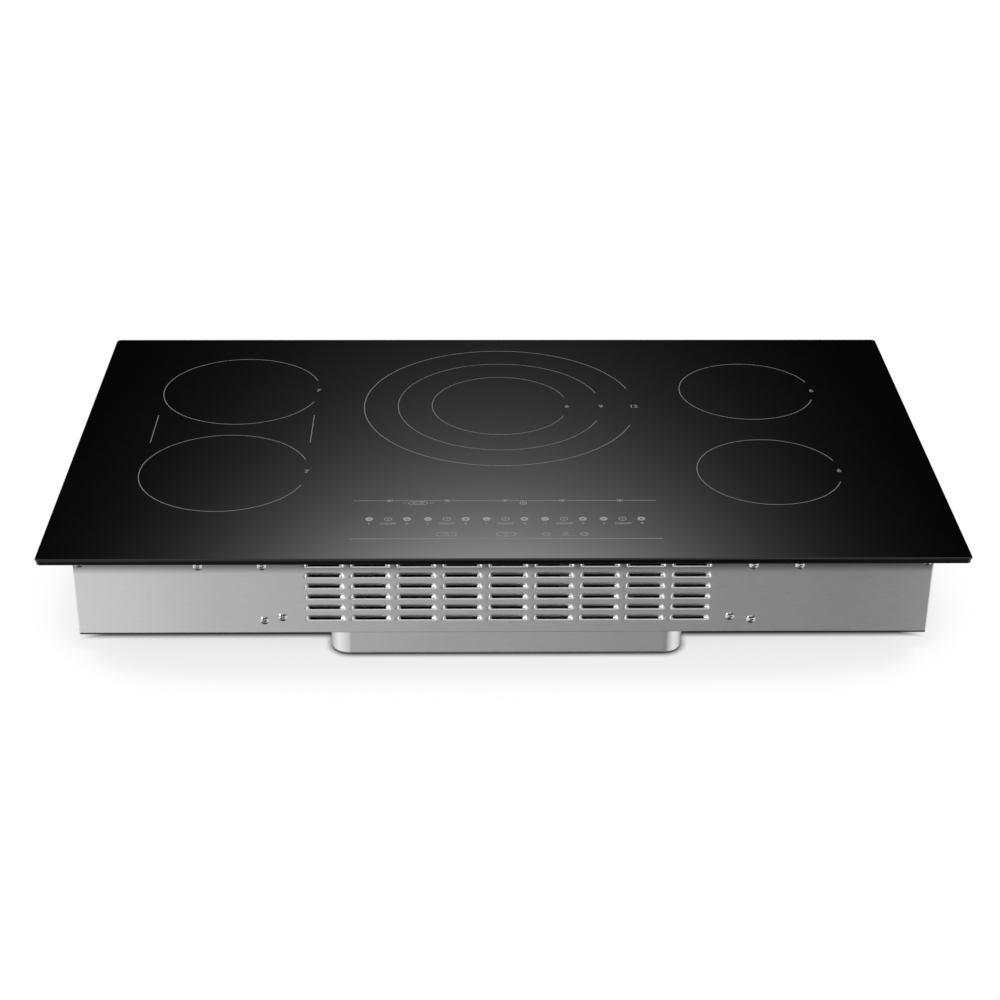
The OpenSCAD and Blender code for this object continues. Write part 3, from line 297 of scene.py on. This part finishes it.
materials = {name: makeFinish(name) for name in finishes}
for part in frame["record"]["subparts"]:
    cadMesh = cadNodes[part["node"]].data
    cadMesh.materials.clear()
    cadMesh.materials.append(materials[part["material_slot"]])
print("finishes:", len(materials))

# foot gives the points of the slab's rounded foot, as distances inwards and upwards
glassLook = dict(width=916.4, depth=543, corner=5, low=125, top=129.95, round=1.35, taper=25,
                 rim=.8, steps=12, foot=[(.3, 0), (.12, 0), (.03, .15), (0, .4)])


# The edge's profile carried round a rounded rectangle: the foot, a wall leaning out by the taper,
# and an arc of the round's radius from the wall to the flat top. The two flats are closed by one
# face each.
def glassSlab(look):
    corner, normal = roundedLoop(look["width"], look["depth"], look["corner"], look["steps"])
    radius, lean = look["round"], math.radians(look["taper"])
    arc = np.linspace(-lean, np.pi / 2, look["steps"])
    arcIn, arcUp = radius * (1 - np.cos(arc)), look["top"] - radius + radius * np.sin(arc)
    footIn, footUp = np.array(look["foot"]).T
    wallIn = arcIn[0] + (arcUp[0] - look["low"] - footUp[-1]) * math.tan(lean)
    inset = np.concatenate([wallIn + footIn, arcIn, [radius + look["rim"]]])
    height = np.concatenate([look["low"] + footUp, arcUp, [look["top"]]])
    loops = corner[None] + normal[None] * (look["corner"] - inset[:, None, None])
    tall = np.broadcast_to(height[:, None, None], loops.shape[:2] + (1,))
    rows, cols = len(inset), len(corner)
    faces = gridFaces(rows, cols, closeCols=True).tolist()
    faces += [list(range(cols))[::-1], list(range((rows - 1) * cols, rows * cols))]
    return np.concatenate([loops, tall], -1).reshape(-1, 3), faces


glass = addPiece("glass_slab", *glassSlab(glassLook), materials["glass"], "glass", sharp=25)
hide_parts("glass_top")
print("glass slab")

# Heights of the prints' undersides and tops, and of the dark signs on the pale discs
printLook = dict(low=129.93, high=129.985, signs=130.0)


# A flat band: the path moved half a width to each side, with a high and a low copy of both edges
def band(path, width, closed=False, high=printLook["high"]):
    p = np.asarray(path, float)
    step = np.roll(p, -1, 0) - np.roll(p, 1, 0) if closed else np.gradient(p, axis=0)
    side = np.stack([-step[:, 1], step[:, 0]], -1)
    side *= width / 2 / np.linalg.norm(side, axis=1, keepdims=True)
    ring = np.stack([p + side, p - side, p - side, p + side], 1)
    heights = np.array([high, high, printLook["low"], printLook["low"]])
    tall = np.broadcast_to(heights[None, :, None], ring.shape[:2] + (1,))
    faces = gridFaces(len(p), 4, closeCols=True)
    last = (len(p) - 1) * 4
    if closed:
        k = np.arange(4)
        after = (k + 1) % 4
        faces = np.concatenate([faces, np.stack([last + k, last + after, after, k], -1)])
    else:
        faces = np.concatenate([faces, [[3, 2, 1, 0], [last, last + 1, last + 2, last + 3]]])
    return np.concatenate([ring, tall], -1).reshape(-1, 3), faces


def line(start, end, width, high=printLook["high"]):
    return band([start, end], width, high=high)


# A level line and an upright one, by the middle and half the length
def across(middle, half, width, high=printLook["high"]):
    x, y = middle
    return line((x - half, y), (x + half, y), width, high)


def upright(middle, half, width, high=printLook["high"]):
    x, y = middle
    return line((x, y - half), (x, y + half), width, high)


def arcPath(centre, radius, start, end, count=96):
    turn = np.radians(np.linspace(start, end, count))
    return np.asarray(centre, float) + radius * np.stack([np.cos(turn), np.sin(turn)], -1)


def circle(centre, radius, width, count=32):
    return band(arcPath(centre, radius, 0, 360, count + 1)[:-1], width, closed=True)


def pill(centre, size, radius, width):
    corner, normal = roundedLoop(*size, radius)
    return band(corner + normal * radius + np.asarray(centre, float), width, closed=True)


# A filled circle: a high and a low loop with the side between them, each loop closed by one face
def disc(centre, radius, count=32):
    loop = arcPath(centre, radius, 0, 360, count + 1)[:-1]
    points = np.concatenate([np.insert(loop, 2, printLook[level], 1) for level in ("low", "high")])
    faces = gridFaces(2, count, closeCols=True).tolist()
    return points, faces + [list(range(count))[::-1], list(range(count, 2 * count))]


# Type size and thickening by the height of the letters, and how fine their curves are
wordLook = dict(size=1.38, thicken=.04, steps=4)


# A word in the built-in typeface, made a mesh
def word(text, centre, height, widen=1.0):
    curve = bpy.data.curves.new("word", "FONT")
    curve.body = text
    curve.align_x = curve.align_y = "CENTER"
    curve.size = height * wordLook["size"] * mm
    curve.offset = height * wordLook["thicken"] * mm
    curve.extrude = (printLook["high"] - printLook["low"]) / 2 * mm
    curve.resolution_u = wordLook["steps"]
    holder = bpy.data.objects.new("word", curve)
    bpy.context.scene.collection.objects.link(holder)
    bpy.context.view_layer.update()
    mesh = bpy.data.meshes.new_from_object(holder)
    bpy.data.objects.remove(holder)
    flat = np.empty(len(mesh.vertices) * 3)
    mesh.vertices.foreach_get("co", flat)
    points = flat.reshape(-1, 3) / mm * (widen, 1, 1)
    points += (*centre, (printLook["high"] + printLook["low"]) / 2)
    faces = [list(face.vertices) for face in mesh.polygons]
    bpy.data.meshes.remove(mesh)
    return points, faces


# Rings by centre, radius and the degrees where they start and end, bridge lines by X and the two
# ends in Y, and numbers by their middle
zoneLook = dict(
    line=.95, faint=.8, numberHeight=7.2,
    rings=[((-293.5, 123), 88.9, 18.6, 340.4), ((-293.5, -82.5), 88.9, 18.6, 340.3),
           ((0, 83.5), 152.4, 17.1, 339.8), ((282.5, 121.3), 76.0, 18.4, 341.6),
           ((282.5, -82.5), 76.0, 19.0, 341.4)],
    inner=[((0, 83.5), 114.3, 16.4, 339.6), ((0, 83.5), 76.2, 16.0, 338.2)],
    bridge=[(-380.3, 57.5, -11.9), (-207.2, 57.5, -11.9)],
    numbers=[("7", -206.3, 123.6), ("7", -206.3, -81.8), ("6", 75.7, 79.9), ("9", 114, 79.9),
             ("12", 150.8, 79.9), ("6", 358, 121.6), ("6", 357, -81.5)])

marks = [band(arcPath(*ring), zoneLook["line"]) for ring in zoneLook["rings"]]
marks += [band(arcPath(*ring), zoneLook["faint"]) for ring in zoneLook["inner"]]
marks += [line((x, start), (x, end), zoneLook["line"]) for x, start, end in zoneLook["bridge"]]
addPiece("zone_rings", *joined(marks), materials["printGrey"], "glass")
marks = [word(text, (x, y), zoneLook["numberHeight"]) for text, x, y in zoneLook["numbers"]]
addPiece("zone_numbers", *joined(marks), materials["printGrey"], "glass")

# Five sets of keys in a row: a disc with a minus, a power mark and a disc with a plus, each over
# its label. Minus and plus are half a length and a width, topLine and lowLine two ends in X, their
# Y and a width.
keyLook = dict(
    middle=1.5, pitch=59.2, sets=range(-2, 3), side=19.1, row=-188.5,
    disc=3.95, minus=(1.7, .5), plus=(1.9, .7), ring=3.6, ringLine=1.1, tick=1.9,
    labelRow=-198.6, labelHeight=3.9, wordWiden=.86, numberWiden=1.2,
    icons=(-116.6, -57.8, 1.8, 60.5, 120.0), iconRow=-148.6, iconSize=(5.0, 4.0), iconRound=1.2,
    iconLine=.9, iconDisc=(1.2, 16), iconGap=3.6,
    topLine=(-153.9, 157.3, -148.7, .9), lowLine=(-154.2, 157.3, -230.1, 1.0))
# Linked rings in a pill join the bridge zone, and a ring in a pill picks the circuits of the middle
# zone. Below the keys are a padlock, all off, and the timer between its two keys. The last number
# of each is a line's width.
signLook = dict(
    pills=[((-87.3, -153.9), (19.0, 6.6), 3.2, 1.1), ((20.5, -153.9), (6.6, 6.6), 2.9, 1.1),
           ((-57.7, -220.8), (19.6, 7.6), 3.7, 1.1), ((-57.7, -221.7), (3.8, 2.6), .5, .9),
           ((1.6, -220.8), (19.4, 7.6), 3.7, 1.1)],
    circles=[((-91.0, -153.9), 1.5, .9), ((-83.6, -153.9), 1.5, .9), ((20.5, -153.9), 1.4, .9),
             ((41.6, -220.8), 3.5, 1.1), ((79.8, -220.8), 3.5, 1.1), ((60.9, -220.1), 2.5, .9)],
    arcs=[(((-57.7, -220.4), 1.3, 0, 180, 17), .9), (((1.6, -220.9), 1.9, -230, 50, 25), .9)],
    lines=[((-103.7, -153.9), (-98.7, -153.9), .9), ((-75.7, -153.9), (-71.0, -153.9), .9),
           ((-89.5, -153.9), (-85.1, -153.9), .9), ((1.6, -220.9), (1.6, -218.5), .9),
           ((39.9, -220.8), (43.3, -220.8), .9), ((78.1, -220.8), (81.5, -220.8), .9),
           ((79.8, -222.5), (79.8, -219.1), .9), ((60.9, -220.1), (60.9, -218.4), .9),
           ((60.9, -220.1), (62.2, -220.1), .9), ((49.3, -224.0), (72.2, -224.0), .5)])

marks, discs, signs = [], [], []
for k in keyLook["sets"]:
    x, y = keyLook["middle"] + keyLook["pitch"] * k, keyLook["row"]
    power, left, right = (x, y), (x - keyLook["side"], y), (x + keyLook["side"], y)
    discs += [disc(left, keyLook["disc"]), disc(right, keyLook["disc"])]
    signs += [across(left, *keyLook["minus"], printLook["signs"]),
              across(right, *keyLook["plus"], printLook["signs"]),
              upright(right, *keyLook["plus"], printLook["signs"])]
    marks += [circle(power, keyLook["ring"], keyLook["ringLine"]),
              upright(power, keyLook["tick"], keyLook["ringLine"])]
    for text, key, widen in (("ON/OFF", power, "wordWiden"), ("1", left, "numberWiden"),
                             ("9", right, "numberWiden")):
        below = (key[0], keyLook["labelRow"])
        marks.append(word(text, below, keyLook["labelHeight"], keyLook[widen]))
for x in keyLook["icons"]:
    middle = (x, keyLook["iconRow"])
    marks.append(pill(middle, keyLook["iconSize"], keyLook["iconRound"], keyLook["iconLine"]))
    discs.append(disc(middle, *keyLook["iconDisc"]))
start, end, y, width = keyLook["topLine"]
gaps = [v for x in keyLook["icons"] for v in (x - keyLook["iconGap"], x + keyLook["iconGap"])]
marks += [line((a, y), (b, y), width) for a, b in zip([start] + gaps[1::2], gaps[::2] + [end])]
start, end, y, width = keyLook["lowLine"]
marks.append(line((start, y), (end, y), width))
marks += [pill(*sign) for sign in signLook["pills"]]
marks += [circle(*sign) for sign in signLook["circles"]]
marks += [line(*sign) for sign in signLook["lines"]]
marks += [band(arcPath(*arc), width) for arc, width in signLook["arcs"]]
addPiece("key_marks", *joined(marks), materials["printKeys"], "glass")
addPiece("key_discs", *joined(discs), materials["printPale"], "glass")
addPiece("key_signs", *joined(signs), materials["seal"], "glass")
print("prints on the glass")

# The sheet's outline, the tray's sides, the hem as heights and distances inwards, and the louvres.
# hollow rounds off the upper end of a hood's slope, chamfer and lean shape the lip under the slit,
# and lipRun is how far from a louvre's ends the lip leans in fully. Columns of points lie near a
# louvre's ends, at inner and beside the louvres, and rows above and below a louvre's lip, near the
# top and at plain.
frontLook = dict(
    half=428.5, front=-238.5, high=124, bend=1.5, bendPoints=7, tightest=.02, fold=14, foldPoints=3,
    sheet=1.0, trayUp=27.0, traySides=(-176.4, 182.6), trayStep=.4, hemFrom=.1,
    # The hem reaches below the box's edge, and the finish paints it dark as a painted shadow under
    # the box.
    hem=[(27.6, 0), (27.3, .08), (27.0, .2), (26.1, .35), (25.3, .5), (25.1, .75), (25.1, 6),
         (25.1, 12)],
    columns=9, rows=6, middle=3.6, topLip=103.2, pitchX=45.8, pitchZ=12.3, width=39.2, height=6.0,
    corner=4.0, ends=(3.5, 4.7), depth=3.3, hollow=.06, slit=.7, slitWithin=.05,
    # The lip's share is how much painted highlight the lip under a slit gets.
    chamfer=1.15, lean=.31, lipRun=1.2, lipHighlightShare=.75, tiny=.01,
    near=(0, .25, .8, 1.6, 2.4, 3.1, 3.5, 4.1, 4.7), inner=(-8, 0, 8), beside=(2, 90),
    above=(7.0, 6.4, 6.1, 5.8, 5.4, 4.9, 4.3, 3.6, 2.9, 2.1, 1.3),
    below=(0, -.15, -.7, -1.1, -1.25, -1.6), nearTop=10, plain=(31.5, 28.1))


def sheetColumns(look, centres):
    near, half = np.array(look["near"]), look["width"] / 2
    perLouvre = np.concatenate([near - half, look["inner"], (half - near)[::-1]])
    columns = (centres[:, None] + perLouvre).ravel()
    traySides = np.add.outer(look["traySides"], (-look["trayStep"], look["trayStep"])).ravel()
    beside = np.array(look["beside"])
    return np.sort(np.concatenate([columns, traySides, columns[0] - beside, columns[-1] + beside]))


def sheetRows(look, lips):
    perLouvre = np.array([*look["above"], look["slit"], *look["below"]])
    hemUp, hemIn = np.array(look["hem"]).T
    top = [look["high"], look["high"] - look["nearTop"]]
    heights = np.concatenate([top, (lips[:, None] + perLouvre).ravel(), look["plain"], hemUp])
    return heights, np.concatenate([np.zeros(len(heights) - len(hemIn)), hemIn])


# The sheet before its louvres are pressed, as a grid, and which points are the hem, which the
# finish paints dark as a painted shadow. Across, it follows the folded outline: a return, an arc,
# the front, an arc, a return. Down, it goes from the top edge to the slanted hem and the lip under
# the box, and the hem is level above the tray.
def plainSheet(look, centres, lips):
    half, front, bend = look["half"], look["front"], look["bend"]
    columns = sheetColumns(look, centres)
    heights, inwards = (values[:, None] for values in sheetRows(look, lips))
    fold = np.linspace(look["fold"], bend, look["foldPoints"] + 1)[:-1]
    turn = np.linspace(0, np.pi / 2, look["bendPoints"])
    radius = np.maximum(bend - inwards, look["tightest"])
    sideX = -half + inwards + 0 * fold
    sideY = front + np.maximum(fold, inwards + look["tightest"])
    arcX = -half + inwards + radius * (1 - np.cos(turn))
    arcY = front + inwards + radius * (1 - np.sin(turn))
    midX = np.clip(columns, -half + inwards + radius, half - inwards - radius)
    midY = front + inwards + 0 * columns
    x = np.concatenate([sideX, arcX, midX, -arcX[:, ::-1], -sideX[:, ::-1]], 1)
    y = np.concatenate([sideY, arcY, midY, arcY[:, ::-1], sideY[:, ::-1]], 1)
    overTray = (x > look["traySides"][0]) & (x < look["traySides"][1])
    z = np.where(overTray, np.maximum(heights, look["trayUp"]), heights)
    return x, y, z, (inwards > look["hemFrom"]) & ~overTray


# How far each point is pressed in, and how much painted highlight the finish gives it. A louvre's
# hood goes in by depth x slope x end: slope grows from 0 at the upper edge, lowered by the corner
# arcs, to 1 at the slit, and end grows evenly from 0 at the left and right ends of the louvre to 1.
# The lip under the slit leans in a little.
def pressIn(look, x, z, centres, lips):
    half, corner, tiny = look["width"] / 2, look["corner"], look["tiny"]
    leftEnd, rightEnd = look["ends"]
    off = x[..., None] - centres
    fromEnd = (half - np.abs(off)).max(-1).clip(0)
    end = np.minimum((half + off) / leftEnd, (half - off) / rightEnd).max(-1).clip(0, 1)
    over = z[..., None] - lips
    overLip = np.where(over >= look["below"][-1], over, look["high"]).min(-1)
    hood = (overLip >= look["slit"] - tiny) & (fromEnd > tiny)
    lip = (overLip < look["slit"] - tiny) & (fromEnd > tiny)
    lowered = corner - np.sqrt(np.clip(corner ** 2 - (corner - fromEnd) ** 2, 0, None))
    upper = look["height"] - np.where(fromEnd < corner, lowered, 0)
    t = np.clip((upper - overLip) / (look["height"] - look["slit"]), 0, 1)
    slope = t * t / (t + look["hollow"]) * (1 + look["hollow"])
    lean = np.clip(overLip + look["chamfer"], 0, look["chamfer"]) * look["lean"]
    push = np.where(hood, look["depth"] * slope * end, 0)
    push = push + np.where(lip, lean * np.clip(fromEnd / look["lipRun"], 0, 1), 0)
    return push, np.where(hood & (slope > 0), 1, np.where(lip & (lean > 0), look["lipHighlightShare"], 0))


# The cells of the grid that are slits and stay open
def slitCells(look, x, z, centres, lips):
    half, (leftEnd, rightEnd) = look["width"] / 2, look["ends"]
    off = (x[:-1, :-1] + x[:-1, 1:])[..., None] / 2 - centres
    over = (z[:-1, :-1] + z[1:, :-1])[..., None] / 2 - lips
    inLouvre = ((off > leftEnd - half) & (off < half - rightEnd)).any(-1)
    inSlit = (np.abs(over - look["slit"] / 2) < look["slitWithin"]).any(-1)
    return (inLouvre & inSlit).ravel()


def louvredFront(look):
    fromMiddle = np.arange(look["columns"]) - (look["columns"] - 1) / 2
    centres = look["middle"] + fromMiddle * look["pitchX"]
    lips = look["topLip"] - np.arange(look["rows"]) * look["pitchZ"]
    x, y, z, hem = plainSheet(look, centres, lips)
    push, share = pressIn(look, x, z, centres, lips)
    faces = gridFaces(*x.shape)[~slitCells(look, x, z, centres, lips)]
    points = np.stack([x, y + push, z], -1).reshape(-1, 3)
    # The painted highlight's share and the hem's painted shadow go with the points.
    return points, faces[:, ::-1], dict(pressedHighlight=share, hem=hem)


points, faces, paintedRegions = louvredFront(frontLook)
front = addPiece("louvred_front", points, faces, materials["brushed_steel"], "brushed_steel",
                 sharp=50)
# The masks of the painted highlight and the painted shadow become attributes of the mesh.
for region, share in paintedRegions.items():
    shares = front.data.attributes.new(region, "FLOAT", "POINT").data
    shares.foreach_set("value", share.ravel().astype(float))
sheet = front.modifiers.new("sheet", "SOLIDIFY")
sheet.thickness = frontLook["sheet"] * mm
sheet.offset = -1
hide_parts("front_panel")
print("louvred front")

cameraLook = dict(place=(-.0386, -2.0062, 1.1029), lens=73.47, sensor=36, reach=50, yaw=-1.087,
                  down=27.624, roll=.404)


# The view is tipped down and turned by the yaw about Z, and the picture turns by the roll
def makeCamera(look):
    yaw, down, roll = (math.radians(look[key]) for key in ("yaw", "down", "roll"))
    turn = Matrix.Rotation(yaw, 3, "Z")
    forward = turn @ Vector((0, math.cos(down), -math.sin(down)))
    up = turn @ Vector((0, math.sin(down), math.cos(down)))
    right = turn @ Vector((1, 0, 0))
    side = math.cos(roll) * right + math.sin(roll) * up
    top = math.cos(roll) * up - math.sin(roll) * right
    lens = bpy.data.cameras.new("camera")
    lens.lens = look["lens"]
    lens.sensor_width = look["sensor"]
    lens.clip_end = look["reach"]
    camera = bpy.data.objects.new("camera", lens)
    bpy.context.scene.collection.objects.link(camera)
    turned = Matrix((side, top, -forward)).transposed().to_4x4()
    camera.matrix_world = Matrix.Translation(look["place"]) @ turned
    bpy.context.scene.camera = camera


makeCamera(cameraLook)

# far and near give how far the object is looked for in metres, how many rays look for it, and the
# tone by how much sky is open. Outside an ellipse of the half sizes in around, the floor is plain
# white. Deep under the box, within the distances under across and along from its middle, a painted
# shadow makes it dark.
floorLook = dict(
    size=12, bounce=.8, around=(.78, .62),
    far=(1.0, 24, [(0, .7), (.13, .8), (.25, .83), (.5, .87), (.58, .95), (.66, 1)]),
    near=(.008, 10, [(0, .05), (.3, .08), (.45, .24), (.6, .45), (.75, .69), (.9, .9), (1, 1)]),
    under=[(.405, .440), (.197, .209)], middle=.0015, paintedShadowTone=.06)


# The floor bounces plain white light. The camera sees it white, darker where the object hides the
# sky, and with a painted shadow deep under the box.
def makeFloor(look):
    mesh = bpy.data.meshes.new("floor")
    s = look["size"]
    mesh.from_pydata([(-s, -s, 0), (s, -s, 0), (s, s, 0), (-s, s, 0)], [], [(0, 1, 2, 3)])
    material = bpy.data.materials.new("floorWhite")
    material.use_nodes = True
    material.node_tree.nodes.clear()
    tools = nodeTools(material.node_tree)
    add, feed, calc, choose = (tools[name] for name in ("add", "feed", "calc", "choose"))
    tones = []
    for reach, rays, stops in (look["far"], look["near"]):
        sky = add("ShaderNodeAmbientOcclusion")
        sky.samples = rays
        feed(sky.inputs["Distance"], reach)
        greys = [(position, (tone, tone, tone)) for position, tone in stops]
        tones.append(tools["ramp"](sky.outputs["AO"], greys))
    place = add("ShaderNodeTexCoord").outputs["Object"]
    split = add("ShaderNodeSeparateXYZ")
    feed(split.inputs[0], place)
    away = [calc("ABSOLUTE", split.outputs["X"]),
            calc("ABSOLUTE", calc("SUBTRACT", split.outputs["Y"], look["middle"]))]
    # A painted shadow: the floor is dark deep under the box, by place.
    clear = [tools["ease"](value, limits, (look["paintedShadowTone"], 1))
             for value, limits in zip(away, look["under"])]
    shaded, plain = add("ShaderNodeEmission"), add("ShaderNodeEmission")
    bounce = add("ShaderNodeBsdfDiffuse")
    feed(shaded.inputs["Color"], tools["multiply"](*tones))
    feed(shaded.inputs["Strength"], calc("MAXIMUM", *clear))
    feed(bounce.inputs["Color"], (look["bounce"],) * 3 + (1,))
    ellipse, radius = add("ShaderNodeMapping"), add("ShaderNodeVectorMath")
    feed(ellipse.inputs["Scale"], (1 / look["around"][0], 1 / look["around"][1], 0))
    feed(ellipse.inputs["Vector"], place)
    radius.operation = "LENGTH"
    feed(radius.inputs[0], ellipse.outputs["Vector"])
    outside = calc("GREATER_THAN", radius.outputs["Value"], 1)
    white = choose(outside, shaded.outputs[0], plain.outputs[0])
    surface = choose(tools["seen"](), bounce.outputs[0], white)
    feed(add("ShaderNodeOutputMaterial").inputs["Surface"], surface)
    mesh.materials.append(material)
    floor = bpy.data.objects.new("floor", mesh)
    bpy.context.scene.collection.objects.link(floor)
    floor.visible_glossy = False  # gloss sees the studio's own lower half


makeFloor(floorLook)

# Heights run from -1 straight down to 1 straight up. Upwards: four soft glows round the room, whose
# level rises with height, above pale walls and under a pale ceiling, soft lamps at the sides
# (degrees from straight ahead, how narrow, how bright) and a low one in front. Downwards: white all
# round with a grey card in front, by degrees from straight ahead, and dark underfoot. cardScale
# keeps the card's tones within a ramp's range.
studioLook = dict(
    power=.8, day=.95, horizon=(-.08, .02),
    glow=dict(count=4.0, turn=.0149, lobe=9.7, between=.6, level=.4612, climb=33.5, most=3.0,
              gain=1.22, top=(.5, .56)),
    wall=.2, wallTop=(0, .3), ceiling=1.25, ceilingUp=(.58, .74),
    sides=[(-92, 8.0, 1.1), (70, 20.0, .4)], sideLow=(-.1, .05), sideTop=(.3, .5),
    front=1.22, frontLow=(-.06, .02), frontTop=(.12, .28), frontDepth=(-.7, -.2),
    underfoot=(-.92, -.74), underfootTone=.11, cardScale=2.0,
    card=[(-180, .4), (-158, .45), (-140, .9), (-120, 1.15), (-100, 1.5), (-73, 1.92), (-40, 1.55),
          (-22, 1.45), (-15, 1.36), (-9.5, 1.07), (-5.6, .85), (-2, .685), (1.3, .56), (4.5, .465),
          (8.7, .36), (14, .22), (19, .21), (24, .46), (40, 1.15), (60, 1.75), (75, 1.85),
          (100, 1.5), (120, 1.0), (140, .42), (160, .28), (180, .4)])


# The four glows: every other one is fainter by between
def studioGlow(look, x, y, z, calc, ease):
    turned = calc("SUBTRACT", calc("ARCTAN2", x, y), look["turn"])
    swing = calc("COSINE", calc("MULTIPLY", turned, look["count"]))
    opposite = calc("MULTIPLY", swing, -1.0)
    main, other = (calc("EXPONENT", calc("MULTIPLY", calc("SUBTRACT", wave, 1.0), look["lobe"]))
                   for wave in (swing, opposite))
    around = calc("ADD", main, calc("MULTIPLY", other, look["between"]))
    rise = calc("EXPONENT", calc("MULTIPLY", calc("SUBTRACT", z, look["level"]), look["climb"]))
    rise = calc("MULTIPLY", calc("SMOOTH_MIN", rise, look["most"], 1.0), look["gain"])
    return calc("MULTIPLY", calc("MULTIPLY", rise, ease(z, look["top"], (1, 0))), around)


# Gloss sees the studio, the camera plain white, and all other rays an even pale day
def makeStudio(look):
    world = bpy.data.worlds.new("studio")
    bpy.context.scene.world = world
    world.use_nodes = True
    world.node_tree.nodes.clear()
    tools = nodeTools(world.node_tree)
    add, feed, calc, ease, mix = (tools[name] for name in ("add", "feed", "calc", "ease", "mix"))
    split = add("ShaderNodeSeparateXYZ")
    feed(split.inputs[0], add("ShaderNodeTexCoord").outputs["Generated"])
    x, y, z = split.outputs
    heading = calc("ARCTAN2", x, calc("MULTIPLY", y, -1.0))
    walls = ease(z, look["wallTop"], (look["wall"], 0), "LINEAR")
    walls = calc("MULTIPLY", walls, ease(z, look["horizon"], (0, 1)))
    upper = calc("ADD", studioGlow(look["glow"], x, y, z, calc, ease), walls)
    upper = calc("ADD", upper, ease(z, look["ceilingUp"], (0, look["ceiling"])))
    for degrees, narrow, bright in look["sides"]:
        apart = calc("COSINE", calc("SUBTRACT", heading, math.radians(degrees)))
        lobe = calc("EXPONENT", calc("MULTIPLY", calc("SUBTRACT", apart, 1.0), narrow))
        tall = ease(z, look["sideLow"], (0, bright))
        tall = calc("MULTIPLY", tall, ease(z, look["sideTop"], (1, 0)))
        upper = calc("ADD", upper, calc("MULTIPLY", lobe, tall))
    low = ease(z, look["frontLow"], (0, look["front"]))
    low = calc("MULTIPLY", low, ease(z, look["frontTop"], (1, 0)))
    upper = calc("ADD", upper, calc("MULTIPLY", low, ease(y, look["frontDepth"], (1, 0))))
    ahead = calc("ADD", calc("DIVIDE", heading, 2 * math.pi), .5)
    greys = [(degrees / 360 + .5, (tone / look["cardScale"],) * 3)
             for degrees, tone in look["card"]]
    card = calc("MULTIPLY", tools["ramp"](ahead, greys), look["cardScale"])
    below = calc("MULTIPLY", card, ease(z, look["horizon"], (1, 0)))
    below = calc("MULTIPLY", below, ease(z, look["underfoot"], (look["underfootTone"], 1)))
    glossy = add("ShaderNodeLightPath").outputs["Is Glossy Ray"]
    lit = calc("MULTIPLY", mix(glossy, look["day"], calc("ADD", upper, below)), look["power"])
    back = add("ShaderNodeBackground")
    feed(back.inputs["Color"], (1, 1, 1, 1))
    feed(back.inputs["Strength"], mix(tools["seen"](), lit, 1.0))
    feed(add("ShaderNodeOutputWorld").inputs["Surface"], back.outputs[0])


makeStudio(studioLook)

lampLook = dict(place=(-1.5, -1.1, .9), aim=(-.2, -.24, .07), size=.9, power=10)


def makeLamp(look):
    lamp = bpy.data.lights.new("sideLamp", "AREA")
    lamp.size = look["size"]
    lamp.energy = look["power"]
    holder = bpy.data.objects.new("sideLamp", lamp)
    bpy.context.scene.collection.objects.link(holder)
    aim = Vector(look["aim"]) - Vector(look["place"])
    turned = aim.to_track_quat("-Z", "Y").to_matrix().to_4x4()
    holder.matrix_world = Matrix.Translation(look["place"]) @ turned


makeLamp(lampLook)
bpy.context.scene.view_settings.view_transform = "Standard"
print("camera, floor and light")
